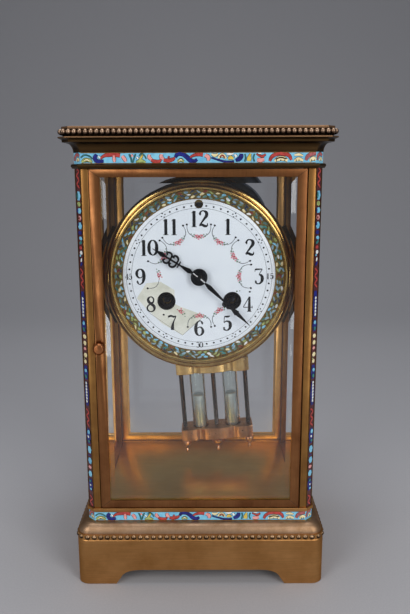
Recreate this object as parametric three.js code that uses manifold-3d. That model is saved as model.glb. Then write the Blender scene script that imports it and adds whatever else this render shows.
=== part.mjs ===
// A four-glass table clock: a glazed gilt case with enamelled bands, a striking
// movement hung from its front posts, and a twin-tube mercury pendulum.
// Millimetres, +Z up, front face towards -Y, origin under the middle of the base.
import * as THREE from 'three';
import { mergeVertices } from 'three/addons/utils/BufferGeometryUtils.js';
import Module from 'manifold-3d';

const wasm = await Module();
wasm.setup();

// Clearances between fitted pieces
const seatGap = 0.3;
const doorClearance = 0.4;
const runningGap = 0.3;
const touchGap = 0.05;
const paneGap = 0.1;

// Case body
const caseWidth = 140.6;
const caseDepth = 110.2;
const cornerCut = 4.4;
const postSide = 8.3;
const postHeight = 207.4;
const stripThickness = 0.8;
const stripBorder = 0.35;

// Base, from the floor up
const blockHeight = 30.2;
const blockOverhang = 6.7;
const blockCornerRadius = 7.0;
const baseBeadHeight = 3.6;
const baseBeadOverhang = 7.8;
const ovoloHeight = 6.0;
const ovoloOverhang = 5.9;
const baseBandHeight = 6.2;
const baseFilletHeight = 2.3;
const baseFilletOverhang = 0.7;
const baseWall = 4.0;
const baseRoofThickness = 3.4;
const baseHollowInset = 6.0;
const baseHollowCorner = 4.0;
const baseHollowStepLow = 4.0;
const baseHollowStepHigh = 5.0;
const footLength = 24.0;
const archHeight = 9.7;
const archShoulder = 16.0;
const archLeadHeight = 4.3;
const archLeadRun = 3.0;
const archCurveRun = 2.0;

// Floor plate
const floorThickness = 1.3;
const floorInset = 0.9;

// Cap, from the posts up
const capFilletHeight = 2.6;
const capFilletOverhang = 1.7;
const capBandHeight = 6.2;
const cavettoHeight = 5.4;
const cavettoOverhang = 3.8;
const capStepHeight = 1.4;
const capStepOverhang = 5.4;
const capEdgeHeight = 1.6;
const capEdgeOverhang = 7.2;
const capNeckHeight = 1.1;
const capNeckOverhang = 4.6;
const capBeadHeight = 2.9;
const capBeadOverhang = 7.3;
const slabHeight = 1.5;
const slabOverhang = 5.3;
const capWall = 5.0;
const capRoofThickness = 4.0;

// Enamelled bands let in round the base and the cap
const bandThickness = 1.5;

// Glazed frames
const frameThickness = 4.5;
const stileWidth = 5.8;
const doorBottomRail = 4.8;
const doorTopRail = 4.4;
const glassThickness = 2.4;
const glassEdge = 1.2;
const glassBevel = 4.4;
const glassLip = 1.0;
const glassOverlap = 1.1;
const hingePinRadius = 1.0;
const hingePinLength = 1.6;
const hingePinInset = 1.6;
const hingeEdgeRelief = 0.32;
const sideFrameSetback = 0.4;

// Door knobs and their catches
const knobRadius = 3.7;
const knobHeight = 103.4;
const knobStemRadius = 1.2;
const knobStemLength = 1.0;
const knobHeadDepth = 2.6;
const catchLength = 4.6;
const catchWidth = 3.0;
const catchThickness = 1.0;
const catchSlotDepth = 2.6;
const catchSlotRoom = 1;

// Dial and its mount; depths are behind the front face of the case
const dialHeight = 192.3;
const dialRadius = 46.0;
const dialFaceDepth = 13.7;
const dialDome = 1.6;
const windingHoleRadius = 5.3;
const regulatorHoleRadius = 2.6;
const regulatorHoleHeight = 43.0;
const dialCentreHoleRadius = 3.4;
const enamelRingOuter = 51.3;
const enamelRingThickness = 2.4;
const bezelOuter = 57.2;
const bezelLipRadius = 53.4;
const bezelShoulder = 4.6;
const bezelFloorInner = 44.0;
const bezelFloorThickness = 2.4;
const bezelHeight = 8.4;
const ringOuter = 57.4;
const ringEarRadius = 60.2;
const ringEarSpan = 30;
const ringInner = 44.0;
const ringThickness = 4.0;
const ringFrontDepth = 20.1;
const lugHeight = 6.6;
const lugThickness = 3.0;
const lugLap = 2.4;
const lugBlockWidth = 3.0;
const lugPostInset = 1.0;

// Movement plates and pillars
const frontPlateRadius = 46.5;
const backPlateRadius = 44.0;
const plateThickness = 2.2;
const plateDistance = 32.4;
const pillarRadius = 2.6;
const pillarCircle = 38.5;
const pivotRadius = 0.8;
const arborRadius = 1.2;

// Barrels
const barrelOffset = 19.8;
const barrelDrop = 14.8;
const drumRadius = 16.4;
const drumLength = 18.0;
const greatWheelTeeth = 60;
const greatPinionLeaves = 10;
const greatModule = 0.6;
const greatWheelThickness = 2.0;
const windingArborRadius = 2.0;
const windingSquare = 3.4;
const windingTipSetback = 1.5;

// Going train
const trainModule = 0.42;
const intermediateModule = 0.52;
const intermediateTeeth = 56;
const centrePinionLeaves = 8;
const centreTeeth = 70;
const thirdPinionLeaves = 6;
const thirdModule = 0.36;
const thirdTeeth = 70;
const escapePinionLeaves = 6;
const escapeTeeth = 36;
const escapeRadius = 9.2;
const wheelThickness = 1.3;
const pinionLength = 3.4;
const suspensionHeight = 37.7;
const anchorToEscape = 14.5;

// Strike train
const strikeModule = 0.52;
const strikeWheelTeeth = 40;
const strikePinionLeaves = 8;
const strikeIntermediateBearing = 110;
const pinWheelBearing = 75;
const pinWheelRadius = 8.4;
const pinWheelPins = 8;
const pinLength = 3.0;
const hammerArborX = -14.5;
const hammerArborY = 28.5;

// Crutch, hanging from the anchor arbor
const crutchLength = 26.5;
const crutchThickness = 1.2;
const crutchArmWidth = 2.0;
const crutchFoot = 2.0;
const crutchSpan = 6.8;
const prongWidth = 1.4;
const prongReach = 2.5;

// Motion work and hands
const motionModule = 0.6;
const cannonTeeth = 10;
const minuteWheelTeeth = 30;
const hourPinionTeeth = 8;
const hourWheelTeeth = 32;
const motionThickness = 1.2;
const minuteStudRadius = 0.9;
const minuteStudLength = 5.0;
const hourPipeRadius = 2.7;
const cannonPipeRadius = 2.0;
const handThickness = 0.6;
const handHubRadius = 5.0;
const hourHandLength = 32.4;
const hourHandAngle = 302;
const minuteHandLength = 42.6;
const minuteHandAngle = 134;

// Bell and hammer
const bellX = 17.0;
const bellY = 27.7;
const bellRadius = 30.0;
const bellHeight = 14.0;
const bellWall = 1.2;
const bellRimDepth = 79.5;
const bellStandRadius = 2.0;
const bellStudRadius = 1.2;
const hammerHeadRadius = 3.0;
const hammerHeadLength = 5.0;
const hammerStandOff = 0.8;
const hammerBearing = 150;

// Pendulum
const pendulumDepth = 70.1;
const pendulumLean = 4.3;
const rodRadius = 1.6;
const springWidth = 2.4;
const springLength = 8.0;
const springThickness = 0.5;
const suspensionPinRadius = 1.0;
const hookHalfWidth = 2.2;
const hookHeight = 8.0;
const topBracketDrop = 103.6;
const topBracketHeight = 9.7;
const bottomBracketDrop = 154.1;
const bottomBracketHeight = 8.6;
const bracketHalfWidth = 25.3;
const bracketHalfDepth = 9.0;
const tieRodOffset = 22.7;
const tieRodRadius = 1.6;
const tubeOffset = 11.5;
const tubeRadius = 5.5;
const tubeBore = 4.2;
const tubeSocket = 4.0;
const mercuryShare = 0.63;
const rodFinial = { length: 12.0, radius: 4.2, belly: 0.74 };
const tieFinial = { length: 12.2, radius: 2.9, belly: 0.52 };

// Facets
const cornerSteps = 3;
const roundSides = 10;
const dialSides = 36;
const tubeSides = 10;
const handSides = 24;

// Levels and half sizes worked out from the sizes above
const halfWidth = caseWidth / 2;
const halfDepth = caseDepth / 2;
const baseTop = blockHeight + baseBeadHeight + ovoloHeight + baseBandHeight + baseFilletHeight;
const postTop = baseTop + postHeight;
const bandBottom = blockHeight + baseBeadHeight + ovoloHeight;
const capBandBottom = postTop + capFilletHeight;
const capBandTop = capBandBottom + capBandHeight;
const capTop = capBandTop + cavettoHeight + capStepHeight + capEdgeHeight + capNeckHeight
  + capBeadHeight + slabHeight;
const postInner = halfWidth - postSide;
const postRear = halfDepth - postSide;
const doorHalfWidth = postInner - doorClearance;
const doorBottom = baseTop + doorClearance;
const doorTop = postTop - doorClearance;

// Finishes
const gilt = new THREE.MeshStandardMaterial({ color: 0x9a6e38, roughness: 0.4, metalness: 1 });
const darkGilt = new THREE.MeshStandardMaterial({ color: 0x5f4426, roughness: 0.45, metalness: 1 });
const copperGilt = new THREE.MeshStandardMaterial({ color: 0x8b5e3c, roughness: 0.42, metalness: 1 });
const floorGilt = new THREE.MeshStandardMaterial({ color: 0x7f6238, roughness: 0.3, metalness: 1 });
const enamelBlue = new THREE.MeshStandardMaterial({ color: 0x7fc4e0, roughness: 0.2 });
const enamelRed = new THREE.MeshStandardMaterial({ color: 0x6e3a34, roughness: 0.25 });
const enamelOlive = new THREE.MeshStandardMaterial({ color: 0x6f7a4c, roughness: 0.3 });
const porcelain = new THREE.MeshStandardMaterial({ color: 0xe9eef4, roughness: 0.15 });
const bevelledGlass = new THREE.MeshStandardMaterial({
  color: 0xdfe8ea,
  roughness: 0.05,
  transparent: true,
  opacity: 0.25,
});
const bronze = new THREE.MeshStandardMaterial({ color: 0x3b2a1c, roughness: 0.5, metalness: 1 });
const brass = new THREE.MeshStandardMaterial({ color: 0xb58a3c, roughness: 0.3, metalness: 1 });
const steel = new THREE.MeshStandardMaterial({ color: 0x6f6a68, roughness: 0.3, metalness: 1 });
const bluedBlack = new THREE.MeshStandardMaterial({ color: 0x15120f, roughness: 0.4, metalness: 0.6 });
const bellMetal = new THREE.MeshStandardMaterial({ color: 0x7d8796, roughness: 0.25, metalness: 1 });
const mercury = new THREE.MeshStandardMaterial({ color: 0xc9ccd0, roughness: 0.08, metalness: 1 });

// The clock, with a group whose origin is the middle of the dial
const clock = new THREE.Group();
const movement = new THREE.Group();
movement.position.z = dialHeight;
clock.add(movement);

// Turns a closed three.js geometry into a solid that can be joined and cut.
function solid(geometry) {
  const bare = geometry.clone();
  for (const name of Object.keys(bare.attributes)) {
    if (name !== 'position') {
      bare.deleteAttribute(name);
    }
  }
  const merged = mergeVertices(bare, 1e-4);
  const mesh = new wasm.Mesh({
    numProp: 3,
    vertProperties: new Float32Array(merged.attributes.position.array),
    triVerts: new Uint32Array(merged.index.array),
  });
  return new wasm.Manifold(mesh);
}

function geometryOf(body) {
  const mesh = body.getMesh();
  const geometry = new THREE.BufferGeometry();
  geometry.setAttribute('position', new THREE.BufferAttribute(mesh.vertProperties, 3));
  geometry.setIndex(new THREE.BufferAttribute(mesh.triVerts, 1));
  geometry.computeVertexNormals();
  return geometry;
}

function joined(bodies) {
  return bodies.reduce((sum, body) => sum.add(body));
}

// Adds one named piece of the clock.
function addPiece(name, body, material, parent = clock) {
  const mesh = new THREE.Mesh(geometryOf(body), material);
  mesh.name = name;
  parent.add(mesh);
  return mesh;
}

// Adds a piece drawn as the dial is seen, x right, y up and z towards the viewer.
function addFacing(name, body, material, parent = movement) {
  const mesh = addPiece(name, body, material, parent);
  const toFront = new THREE.Matrix4().set(1, 0, 0, 0, 0, 0, -1, 0, 0, 1, 0, 0, 0, 0, 0, 1);
  mesh.geometry.applyMatrix4(toFront);
  return mesh;
}

function circlePoints(radius, count, x = 0, y = 0, turn = 0) {
  const points = [];
  for (let step = 0; step < count; step += 1) {
    const angle = turn + (2 * Math.PI * step) / count;
    points.push([x + radius * Math.cos(angle), y + radius * Math.sin(angle)]);
  }
  return points;
}

function rectanglePoints(lowX, lowY, highX, highY) {
  return [[lowX, lowY], [highX, lowY], [highX, highY], [lowX, highY]];
}

// A flat piece of any outline with holes, between two heights.
function plate(outline, holes, low, high) {
  const shape = new THREE.Shape(outline.map((point) => new THREE.Vector2(...point)));
  for (const hole of holes) {
    shape.holes.push(new THREE.Path(hole.map((point) => new THREE.Vector2(...point))));
  }
  const geometry = new THREE.ExtrudeGeometry(shape, { depth: high - low, bevelEnabled: false });
  geometry.translate(0, 0, low);
  return solid(geometry);
}

function disc(radius, low, high, x = 0, y = 0, sides = roundSides) {
  return plate(circlePoints(radius, sides, x, y), [], low, high);
}

function block(lowX, lowY, lowZ, highX, highY, highZ) {
  return plate(rectanglePoints(lowX, lowY, highX, highY), [], lowZ, highZ);
}

// A turned piece about the upright axis; the profile lists radius and height from the bottom.
function turned(profile, sides = roundSides) {
  const points = profile.map((point) => new THREE.Vector2(...point));
  const geometry = new THREE.LatheGeometry(points, sides);
  geometry.applyMatrix4(new THREE.Matrix4().set(1, 0, 0, 0, 0, 0, -1, 0, 0, 1, 0, 0, 0, 0, 0, 1));
  return solid(geometry);
}

// One level of a moulding: a rectangle whose corners are arcs or straight cuts.
function cornerRing(halfX, halfY, corner, isRound, steps = cornerSteps) {
  const points = [];
  for (let quarter = 0; quarter < 4; quarter += 1) {
    const centreX = (quarter === 0 || quarter === 3 ? 1 : -1) * (halfX - corner);
    const centreY = (quarter < 2 ? 1 : -1) * (halfY - corner);
    const start = (quarter * Math.PI) / 2;
    const end = start + Math.PI / 2;
    for (let step = 0; step <= steps; step += 1) {
      const share = step / steps;
      const angle = start + (share * Math.PI) / 2;
      const cutX = (1 - share) * Math.cos(start) + share * Math.cos(end);
      const cutY = (1 - share) * Math.sin(start) + share * Math.sin(end);
      points.push([
        centreX + corner * (isRound ? Math.cos(angle) : cutX),
        centreY + corner * (isRound ? Math.sin(angle) : cutY),
      ]);
    }
  }
  return points;
}

// A closed body through rings of equal point counts, one above the other.
function loft(levels) {
  const count = levels[0].ring.length;
  const positions = [];
  const index = [];
  for (const level of levels) {
    for (const [x, y] of level.ring) {
      positions.push(x, y, level.z);
    }
  }
  for (let row = 0; row < levels.length - 1; row += 1) {
    for (let step = 0; step < count; step += 1) {
      const next = (step + 1) % count;
      const low = row * count;
      const high = low + count;
      index.push(low + step, low + next, high + next, low + step, high + next, high + step);
    }
  }
  const top = (levels.length - 1) * count;
  for (let step = 1; step < count - 1; step += 1) {
    index.push(0, step + 1, step);
    index.push(top, top + step, top + step + 1);
  }
  const geometry = new THREE.BufferGeometry();
  geometry.setAttribute('position', new THREE.Float32BufferAttribute(positions, 3));
  geometry.setIndex(index);
  return solid(geometry);
}

// One level of a moulding that stands proud of the case by an overhang.
function mouldingLevel(z, overhang, corner, isRound, steps = cornerSteps) {
  const ring = cornerRing(halfWidth + overhang, halfDepth + overhang, corner, isRound, steps);
  return { z, ring };
}

// One level of a moulding with a single flat on each corner.
function cantedLevel(z, overhang) {
  return mouldingLevel(z, overhang, cornerCut, false, 1);
}

// The half-round of a bead row: shares of its height and of its overhang
const beadSection = [[0.12, 0.6], [0.5, 1], [0.88, 0.6]];

// Base: a hollow casting with bracket feet, a bead, an ovolo and a neck for the enamel band
function baseProfile() {
  const levels = [];
  const beadTop = blockHeight + baseBeadHeight;
  const beadRadius = blockCornerRadius + baseBeadOverhang - blockOverhang;
  const neck = -bandThickness;
  levels.push(mouldingLevel(0, blockOverhang, blockCornerRadius, true));
  levels.push(mouldingLevel(blockHeight, blockOverhang, blockCornerRadius, true));
  for (const [share, proud] of beadSection) {
    const overhang = blockOverhang + proud * (baseBeadOverhang - blockOverhang);
    levels.push(mouldingLevel(blockHeight + share * baseBeadHeight, overhang, beadRadius, true));
  }
  levels.push(mouldingLevel(beadTop, ovoloOverhang, blockCornerRadius, true));
  for (const degrees of [30, 55, 75]) {
    const angle = (degrees * Math.PI) / 180;
    const overhang = ovoloOverhang * Math.cos(angle);
    const corner = cornerCut + (blockCornerRadius - cornerCut) * Math.cos(angle);
    levels.push(mouldingLevel(beadTop + ovoloHeight * Math.sin(angle), overhang, corner, true));
  }
  levels.push(mouldingLevel(bandBottom, 0.1, cornerCut, false));
  levels.push(mouldingLevel(bandBottom, neck, cornerCut, false));
  levels.push(mouldingLevel(bandBottom + baseBandHeight, neck, cornerCut, false));
  levels.push(mouldingLevel(bandBottom + baseBandHeight, baseFilletOverhang, cornerCut, false));
  levels.push(mouldingLevel(baseTop, baseFilletOverhang, cornerCut, false));
  return levels;
}

// The cut-out between two bracket feet, centred on its middle, from below the floor up.
function archOutline(halfLength) {
  const foot = halfLength - footLength;
  const curveStart = archLeadRun + archCurveRun;
  const shape = new THREE.Shape();
  shape.moveTo(-foot, -1);
  shape.lineTo(foot, -1);
  shape.lineTo(foot, 0);
  shape.lineTo(foot - archLeadRun, archLeadHeight);
  shape.quadraticCurveTo(foot - curveStart, archHeight, foot - archShoulder, archHeight);
  shape.lineTo(archShoulder - foot, archHeight);
  shape.quadraticCurveTo(curveStart - foot, archHeight, archLeadRun - foot, archLeadHeight);
  shape.lineTo(-foot, 0);
  return shape.getPoints(4).map((point) => [point.x, point.y]);
}

function hingeAxis() {
  return { x: doorHalfWidth - hingePinInset, y: -halfDepth + hingePinInset };
}

// The pin holes of both doors, between two heights.
function hingeHoles(low, high) {
  const pin = hingeAxis();
  const radius = hingePinRadius + runningGap;
  return joined([disc(radius, low, high, pin.x, pin.y), disc(radius, low, high, -pin.x, -pin.y)]);
}

function makeBase() {
  const outerX = halfWidth + blockOverhang;
  const outerY = halfDepth + blockOverhang;
  const roof = baseTop - floorThickness - floorInset - baseRoofThickness;
  const wide = cornerRing(outerX - baseWall, outerY - baseWall, baseHollowCorner, true);
  const narrow = cornerRing(halfWidth - baseHollowInset, halfDepth - baseHollowInset,
    baseHollowCorner, true);
  const hollow = loft([
    { z: -1, ring: wide },
    { z: blockHeight - baseHollowStepLow, ring: wide },
    { z: blockHeight + baseHollowStepHigh, ring: narrow },
    { z: roof, ring: narrow },
  ]);
  const frontArch = plate(archOutline(outerX), [], -outerY - 1, outerY + 1).rotate([90, 0, 0]);
  const sideArch = plate(archOutline(outerY), [], -outerX - 1, outerX + 1).rotate([90, 0, 90]);
  const pocket = block(-floorHalfX - paneGap, -floorHalfY - paneGap,
    baseTop - floorThickness - floorInset, floorHalfX + paneGap, floorHalfY + paneGap, baseTop + 1);
  const casting = loft(baseProfile())
    .subtract(hollow)
    .subtract(frontArch)
    .subtract(sideArch)
    .subtract(pocket)
    .subtract(hingeHoles(baseTop - hingePinLength - doorClearance, baseTop + 1));
  addPiece('base_casting', casting, gilt);
}

// A band of enamel let in round a neck of the case, with cut corners.
function makeBand(name, low, height) {
  const inner = cornerRing(halfWidth - bandThickness, halfDepth - bandThickness, cornerCut, false, 1);
  const outer = cornerRing(halfWidth, halfDepth, cornerCut, false, 1);
  const ring = loft([{ z: low, ring: outer }, { z: low + height, ring: outer }])
    .subtract(loft([{ z: low - 1, ring: inner }, { z: low + height + 1, ring: inner }]));
  addPiece(name, ring, enamelBlue);
}

// Floor: a polished sheet that lies in a pocket of the base between the posts
const floorHalfX = postInner - floorInset;
const floorHalfY = halfDepth - frameThickness - floorInset;

function makeFloor() {
  const top = baseTop - floorInset;
  const sheet = block(-floorHalfX, -floorHalfY, top - floorThickness, floorHalfX, floorHalfY, top);
  addPiece('floor_plate', sheet, floorGilt);
}

// Posts: drawn square bars with the outer corner cut off and a shallow groove for the enamel
function postOutline() {
  const run = Math.SQRT1_2;
  const cutLength = cornerCut / run;
  const along = (distance, depth) => [
    halfWidth - cornerCut + distance * run - depth * run,
    -halfDepth + distance * run + depth * run,
  ];
  return [
    [postInner, -halfDepth],
    along(0, 0),
    along(stripBorder, 0),
    along(stripBorder, stripThickness),
    along(cutLength - stripBorder, stripThickness),
    along(cutLength - stripBorder, 0),
    along(cutLength, 0),
    [halfWidth, -postRear],
    [postInner, -postRear],
  ];
}

function stripOutline() {
  const run = Math.SQRT1_2;
  const cutLength = cornerCut / run;
  const side = stripBorder + touchGap;
  const along = (distance, depth) => [
    halfWidth - cornerCut + distance * run - depth * run,
    -halfDepth + distance * run + depth * run,
  ];
  return [
    along(side, touchGap),
    along(cutLength - side, touchGap),
    along(cutLength - side, stripThickness - touchGap),
    along(side, stripThickness - touchGap),
  ];
}

function mirrored(points, signX, signY) {
  const copy = points.map(([x, y]) => [x * signX, y * signY]);
  return signX * signY < 0 ? copy.reverse() : copy;
}

// The slot in a post that the catch of a door knob turns into.
function catchSlot(signX, signY) {
  const level = baseTop + knobHeight;
  const low = halfDepth - frameThickness - runningGap - catchThickness - runningGap;
  const high = halfDepth - frameThickness + runningGap;
  const slot = rectanglePoints(postInner - 1, low, postInner + catchSlotDepth, high);
  const below = catchWidth / 2 + catchSlotRoom;
  const above = catchLength + catchSlotRoom;
  return plate(mirrored(slot, signX, signY), [], level - below, level + above);
}

function makePosts() {
  const corners = [
    ['front_right', 1, 1, false],
    ['front_left', -1, 1, true],
    ['rear_right', 1, -1, true],
    ['rear_left', -1, -1, false],
  ];
  for (const [name, signX, signY, hasSlot] of corners) {
    let bar = plate(mirrored(postOutline(), signX, signY), [], baseTop, postTop);
    if (hasSlot) {
      bar = bar.subtract(catchSlot(signX, -signY));
    }
    addPiece('post_' + name, bar, gilt);
    const strip = plate(mirrored(stripOutline(), signX, signY), [], baseTop, postTop);
    addPiece('post_enamel_' + name, strip, enamelRed);
  }
}

// Cap: a hollow casting with a fillet, a cavetto, an edge, a bead and a thin top slab
function capProfile() {
  const beadBottom = capTop - slabHeight - capBeadHeight;
  const neckBottom = beadBottom - capNeckHeight;
  const edgeBottom = neckBottom - capEdgeHeight;
  const stepBottom = edgeBottom - capStepHeight;
  const levels = [
    cantedLevel(postTop, capFilletOverhang - 0.6),
    cantedLevel(postTop + 0.5 * capFilletHeight, capFilletOverhang),
    cantedLevel(capBandBottom, capFilletOverhang - 0.8),
    cantedLevel(capBandBottom, -bandThickness),
    cantedLevel(capBandTop, -bandThickness),
    cantedLevel(capBandTop, 0.2),
  ];
  for (const degrees of [30, 55, 75, 90]) {
    const angle = (degrees * Math.PI) / 180;
    const overhang = 0.2 + (cavettoOverhang - 0.2) * (1 - Math.cos(angle));
    levels.push(cantedLevel(capBandTop + (stepBottom - capBandTop) * Math.sin(angle), overhang));
  }
  levels.push(cantedLevel(edgeBottom, capStepOverhang));
  levels.push(cantedLevel(edgeBottom + 0.6 * capEdgeHeight, capEdgeOverhang));
  levels.push(cantedLevel(neckBottom, capEdgeOverhang - 0.5));
  levels.push(cantedLevel(beadBottom, capNeckOverhang));
  for (const [share, proud] of beadSection) {
    const overhang = capNeckOverhang + proud * (capBeadOverhang - capNeckOverhang);
    levels.push(cantedLevel(beadBottom + share * capBeadHeight, overhang));
  }
  levels.push(cantedLevel(capTop - slabHeight, slabOverhang - 0.5));
  levels.push(cantedLevel(capTop - slabHeight + 0.3, slabOverhang));
  levels.push(cantedLevel(capTop, slabOverhang));
  return levels;
}

function makeCap() {
  const inner = cornerRing(postInner - capWall, postRear - capWall, cornerCut, false, 1);
  const hollow = loft([{ z: postTop - 1, ring: inner }, { z: capTop - capRoofThickness, ring: inner }]);
  const casting = loft(capProfile())
    .subtract(hollow)
    .subtract(hingeHoles(postTop - 1, postTop + hingePinLength));
  addPiece('cap_cornice', casting, darkGilt);
}

// A sheet of plate glass with a ground bevel round its outer face, facing the viewer.
function bevelledPane(halfX, low, high, back) {
  const middle = (low + high) / 2;
  const halfY = (high - low) / 2;
  const ring = (inset) => rectanglePoints(inset - halfX, inset - halfY, halfX - inset, halfY - inset)
    .map(([x, y]) => [x, y + middle]);
  return loft([
    { z: back, ring: ring(0) },
    { z: back + glassEdge, ring: ring(0) },
    { z: back + glassThickness, ring: ring(glassBevel) },
  ]);
}

// A glazed frame facing the viewer, rebated from behind so that its lip holds the pane.
function glazedFrame(halfX, low, high, stile, bottomRail, topRail, back) {
  const outline = rectanglePoints(-halfX, low, halfX, high);
  const front = back + frameThickness;
  const lip = rectanglePoints(-halfX + stile, low + bottomRail, halfX - stile, high - topRail);
  const rebate = rectanglePoints(-halfX + stile - glassOverlap, low + bottomRail - glassOverlap,
    halfX - stile + glassOverlap, high - topRail + glassOverlap);
  return plate(outline, [lip], front - glassLip, front)
    .add(plate(outline, [rebate], back, front - glassLip));
}

function glazing(halfX, low, high, stile, bottomRail, topRail, back) {
  const side = glassOverlap - paneGap;
  const rise = ((glassThickness - glassEdge) * glassOverlap) / glassBevel;
  return bevelledPane(halfX - stile + side, low + bottomRail - side, high - topRail + side,
    back + frameThickness - glassLip - glassEdge - rise - touchGap);
}

// Side panels: fixed frames between the posts
function makeSidePanels() {
  for (const [name, turn] of [['right', Math.PI / 2], ['left', -Math.PI / 2]]) {
    const group = new THREE.Group();
    group.rotation.z = turn;
    clock.add(group);
    const front = halfWidth - sideFrameSetback;
    const sizes = [postRear - touchGap, baseTop + touchGap, postTop - touchGap, stileWidth,
      doorBottomRail, doorTopRail, front - frameThickness];
    addFacing('side_frame_' + name, glazedFrame(...sizes), gilt, group);
    addFacing('side_glass_' + name, glazing(...sizes), bevelledGlass, group);
  }
}

// What is cut off the front corner of a door's hinge stile so that it turns clear of the post.
function hingeEdgeWaste() {
  const pin = hingeAxis();
  const radius = hingePinInset + hingeEdgeRelief;
  const low = Math.asin(hingePinInset / radius) + 0.1;
  const high = Math.acos(hingePinInset / radius) - 0.1;
  const arc = [];
  for (let step = 0; step <= 4; step += 1) {
    const angle = -high + ((high - low) * step) / 4;
    arc.push([pin.x + radius * Math.cos(angle), pin.y + radius * Math.sin(angle)]);
  }
  const outer = doorHalfWidth + 1;
  const front = -halfDepth - 1;
  return [...arc, [arc[4][0], front], [outer, front], [outer, arc[0][1]]].reverse();
}

// A door: a glazed frame whose hinge edge is rounded about two pins, with a knob and its catch
function makeDoor(name, group) {
  const pin = hingeAxis();
  const back = halfDepth - frameThickness;
  const sizes = [doorHalfWidth, doorBottom, doorTop, stileWidth, doorBottomRail, doorTopRail, back];
  const corner = plate(hingeEdgeWaste(), [], doorBottom - 1, doorTop + 1);
  const pins = joined([
    disc(hingePinRadius, doorBottom - hingePinLength, doorBottom + 1, pin.x, pin.y),
    disc(hingePinRadius, doorTop - 1, doorTop + hingePinLength, pin.x, pin.y),
  ]);
  const knobX = -doorHalfWidth + (stileWidth - glassOverlap) / 2;
  const knobLevel = baseTop + knobHeight;
  const stemHole = disc(knobStemRadius + runningGap, back - 1, halfDepth + 1, knobX, knobLevel);
  const upright = glazedFrame(...sizes).subtract(stemHole).rotate([90, 0, 0]);
  const frame = upright.subtract(corner).add(pins);
  addPiece(name + '_frame', frame, copperGilt, group);
  addFacing(name + '_glass', glazing(...sizes), bevelledGlass, group);
  const knob = addFacing(name + '_knob', knobBody(), copperGilt, group);
  knob.position.set(knobX, -halfDepth, knobLevel);
}

// A turned button on a stem through the stile, with a flat catch behind the frame.
function knobBody() {
  const back = -frameThickness - runningGap;
  const stemTop = knobStemLength;
  const head = turned([
    [0, back - catchThickness],
    [knobStemRadius, back - catchThickness],
    [knobStemRadius, stemTop],
    [knobRadius * 0.8, stemTop],
    [knobRadius, stemTop + knobHeadDepth * 0.4],
    [knobRadius * 0.7, stemTop + knobHeadDepth * 0.9],
    [0, stemTop + knobHeadDepth],
  ], 16);
  const collar = disc(knobStemRadius + 1.2, runningGap / 2, stemTop + 0.2);
  const tongue = block(-catchWidth / 2, -1.6, back - catchThickness, catchWidth / 2, catchLength, back);
  return joined([head, collar, tongue]);
}

function makeDoors() {
  makeDoor('front_door', clock);
  const rear = new THREE.Group();
  rear.rotation.z = Math.PI;
  clock.add(rear);
  makeDoor('rear_door', rear);
}

// Depths of the movement, towards the viewer from the middle of the case
const ringFront = halfDepth - ringFrontDepth;
const ringBack = ringFront - ringThickness;
const frontPlateFront = ringBack;
const frontPlateBack = frontPlateFront - plateThickness;
const backPlateFront = frontPlateBack - plateDistance;
const backPlateBack = backPlateFront - plateThickness;
const bezelBack = ringFront;
const dialBack = bezelBack + bezelFloorThickness;
const dialFront = halfDepth - dialFaceDepth;

// A ring about the dial's axis; the profile lists radius and depth, going once round.
function ringBody(profile, sides = dialSides) {
  return turned([...profile, profile[0]], sides);
}

// The mounting ring's outline, round but for an ear on each side that its bracket holds.
function ringOutline() {
  const points = [];
  for (const [start, end, radius] of [
    [-ringEarSpan, ringEarSpan, ringEarRadius],
    [ringEarSpan, 180 - ringEarSpan, ringOuter],
    [180 - ringEarSpan, 180 + ringEarSpan, ringEarRadius],
    [180 + ringEarSpan, 360 - ringEarSpan, ringOuter],
  ]) {
    const steps = Math.round((end - start) / 10);
    for (let step = 0; step <= steps; step += 1) {
      const place = fromBearing({ x: 0, y: 0 }, radius, start + ((end - start) * step) / steps);
      points.push([place.x, place.y]);
    }
  }
  return points;
}

// Mounting ring and the two brackets that screw it to the front posts
function makeMountingRing() {
  const ring = plate(ringOutline(), [circlePoints(ringInner, dialSides)], ringBack, ringFront);
  addFacing('movement_ring', ring, bronze);
  for (const [name, sign] of [['right', 1], ['left', -1]]) {
    const outer = postInner + lugBlockWidth;
    const half = lugHeight / 2;
    const arm = block(ringEarRadius - lugLap, -half, ringFront, outer, half, ringFront + lugThickness);
    const foot = block(postInner + lugPostInset, -half, ringFront, outer, half, postRear);
    const bracket = arm.add(foot);
    const body = sign > 0 ? bracket : bracket.rotate([0, 0, 180]);
    addFacing('ring_bracket_' + name, body, copperGilt);
  }
}

// Bezel: a turned brass ring whose floor carries the dial and its enamel ring
function makeBezel() {
  const rim = enamelRingOuter + 0.2;
  const top = bezelBack + bezelHeight;
  const shoulderWidth = bezelOuter - bezelLipRadius;
  const body = ringBody([
    [bezelFloorInner, bezelBack],
    [bezelOuter, bezelBack],
    [bezelOuter, top - bezelShoulder],
    [bezelOuter - 0.24 * shoulderWidth, top - 0.46 * bezelShoulder],
    [bezelOuter - 0.6 * shoulderWidth, top - 0.13 * bezelShoulder],
    [bezelLipRadius, top],
    [rim + 0.6, top - 0.9],
    [rim, dialBack],
    [bezelFloorInner, dialBack],
  ]);
  addFacing('bezel', body, brass);
}

function makeEnamelRing() {
  const inner = dialRadius + 0.3;
  const body = ringBody([
    [inner, dialBack],
    [enamelRingOuter, dialBack],
    [enamelRingOuter, dialBack + enamelRingThickness],
    [inner, dialBack + enamelRingThickness - 0.6],
  ]);
  addFacing('dial_enamel_ring', body, enamelOlive);
}

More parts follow.
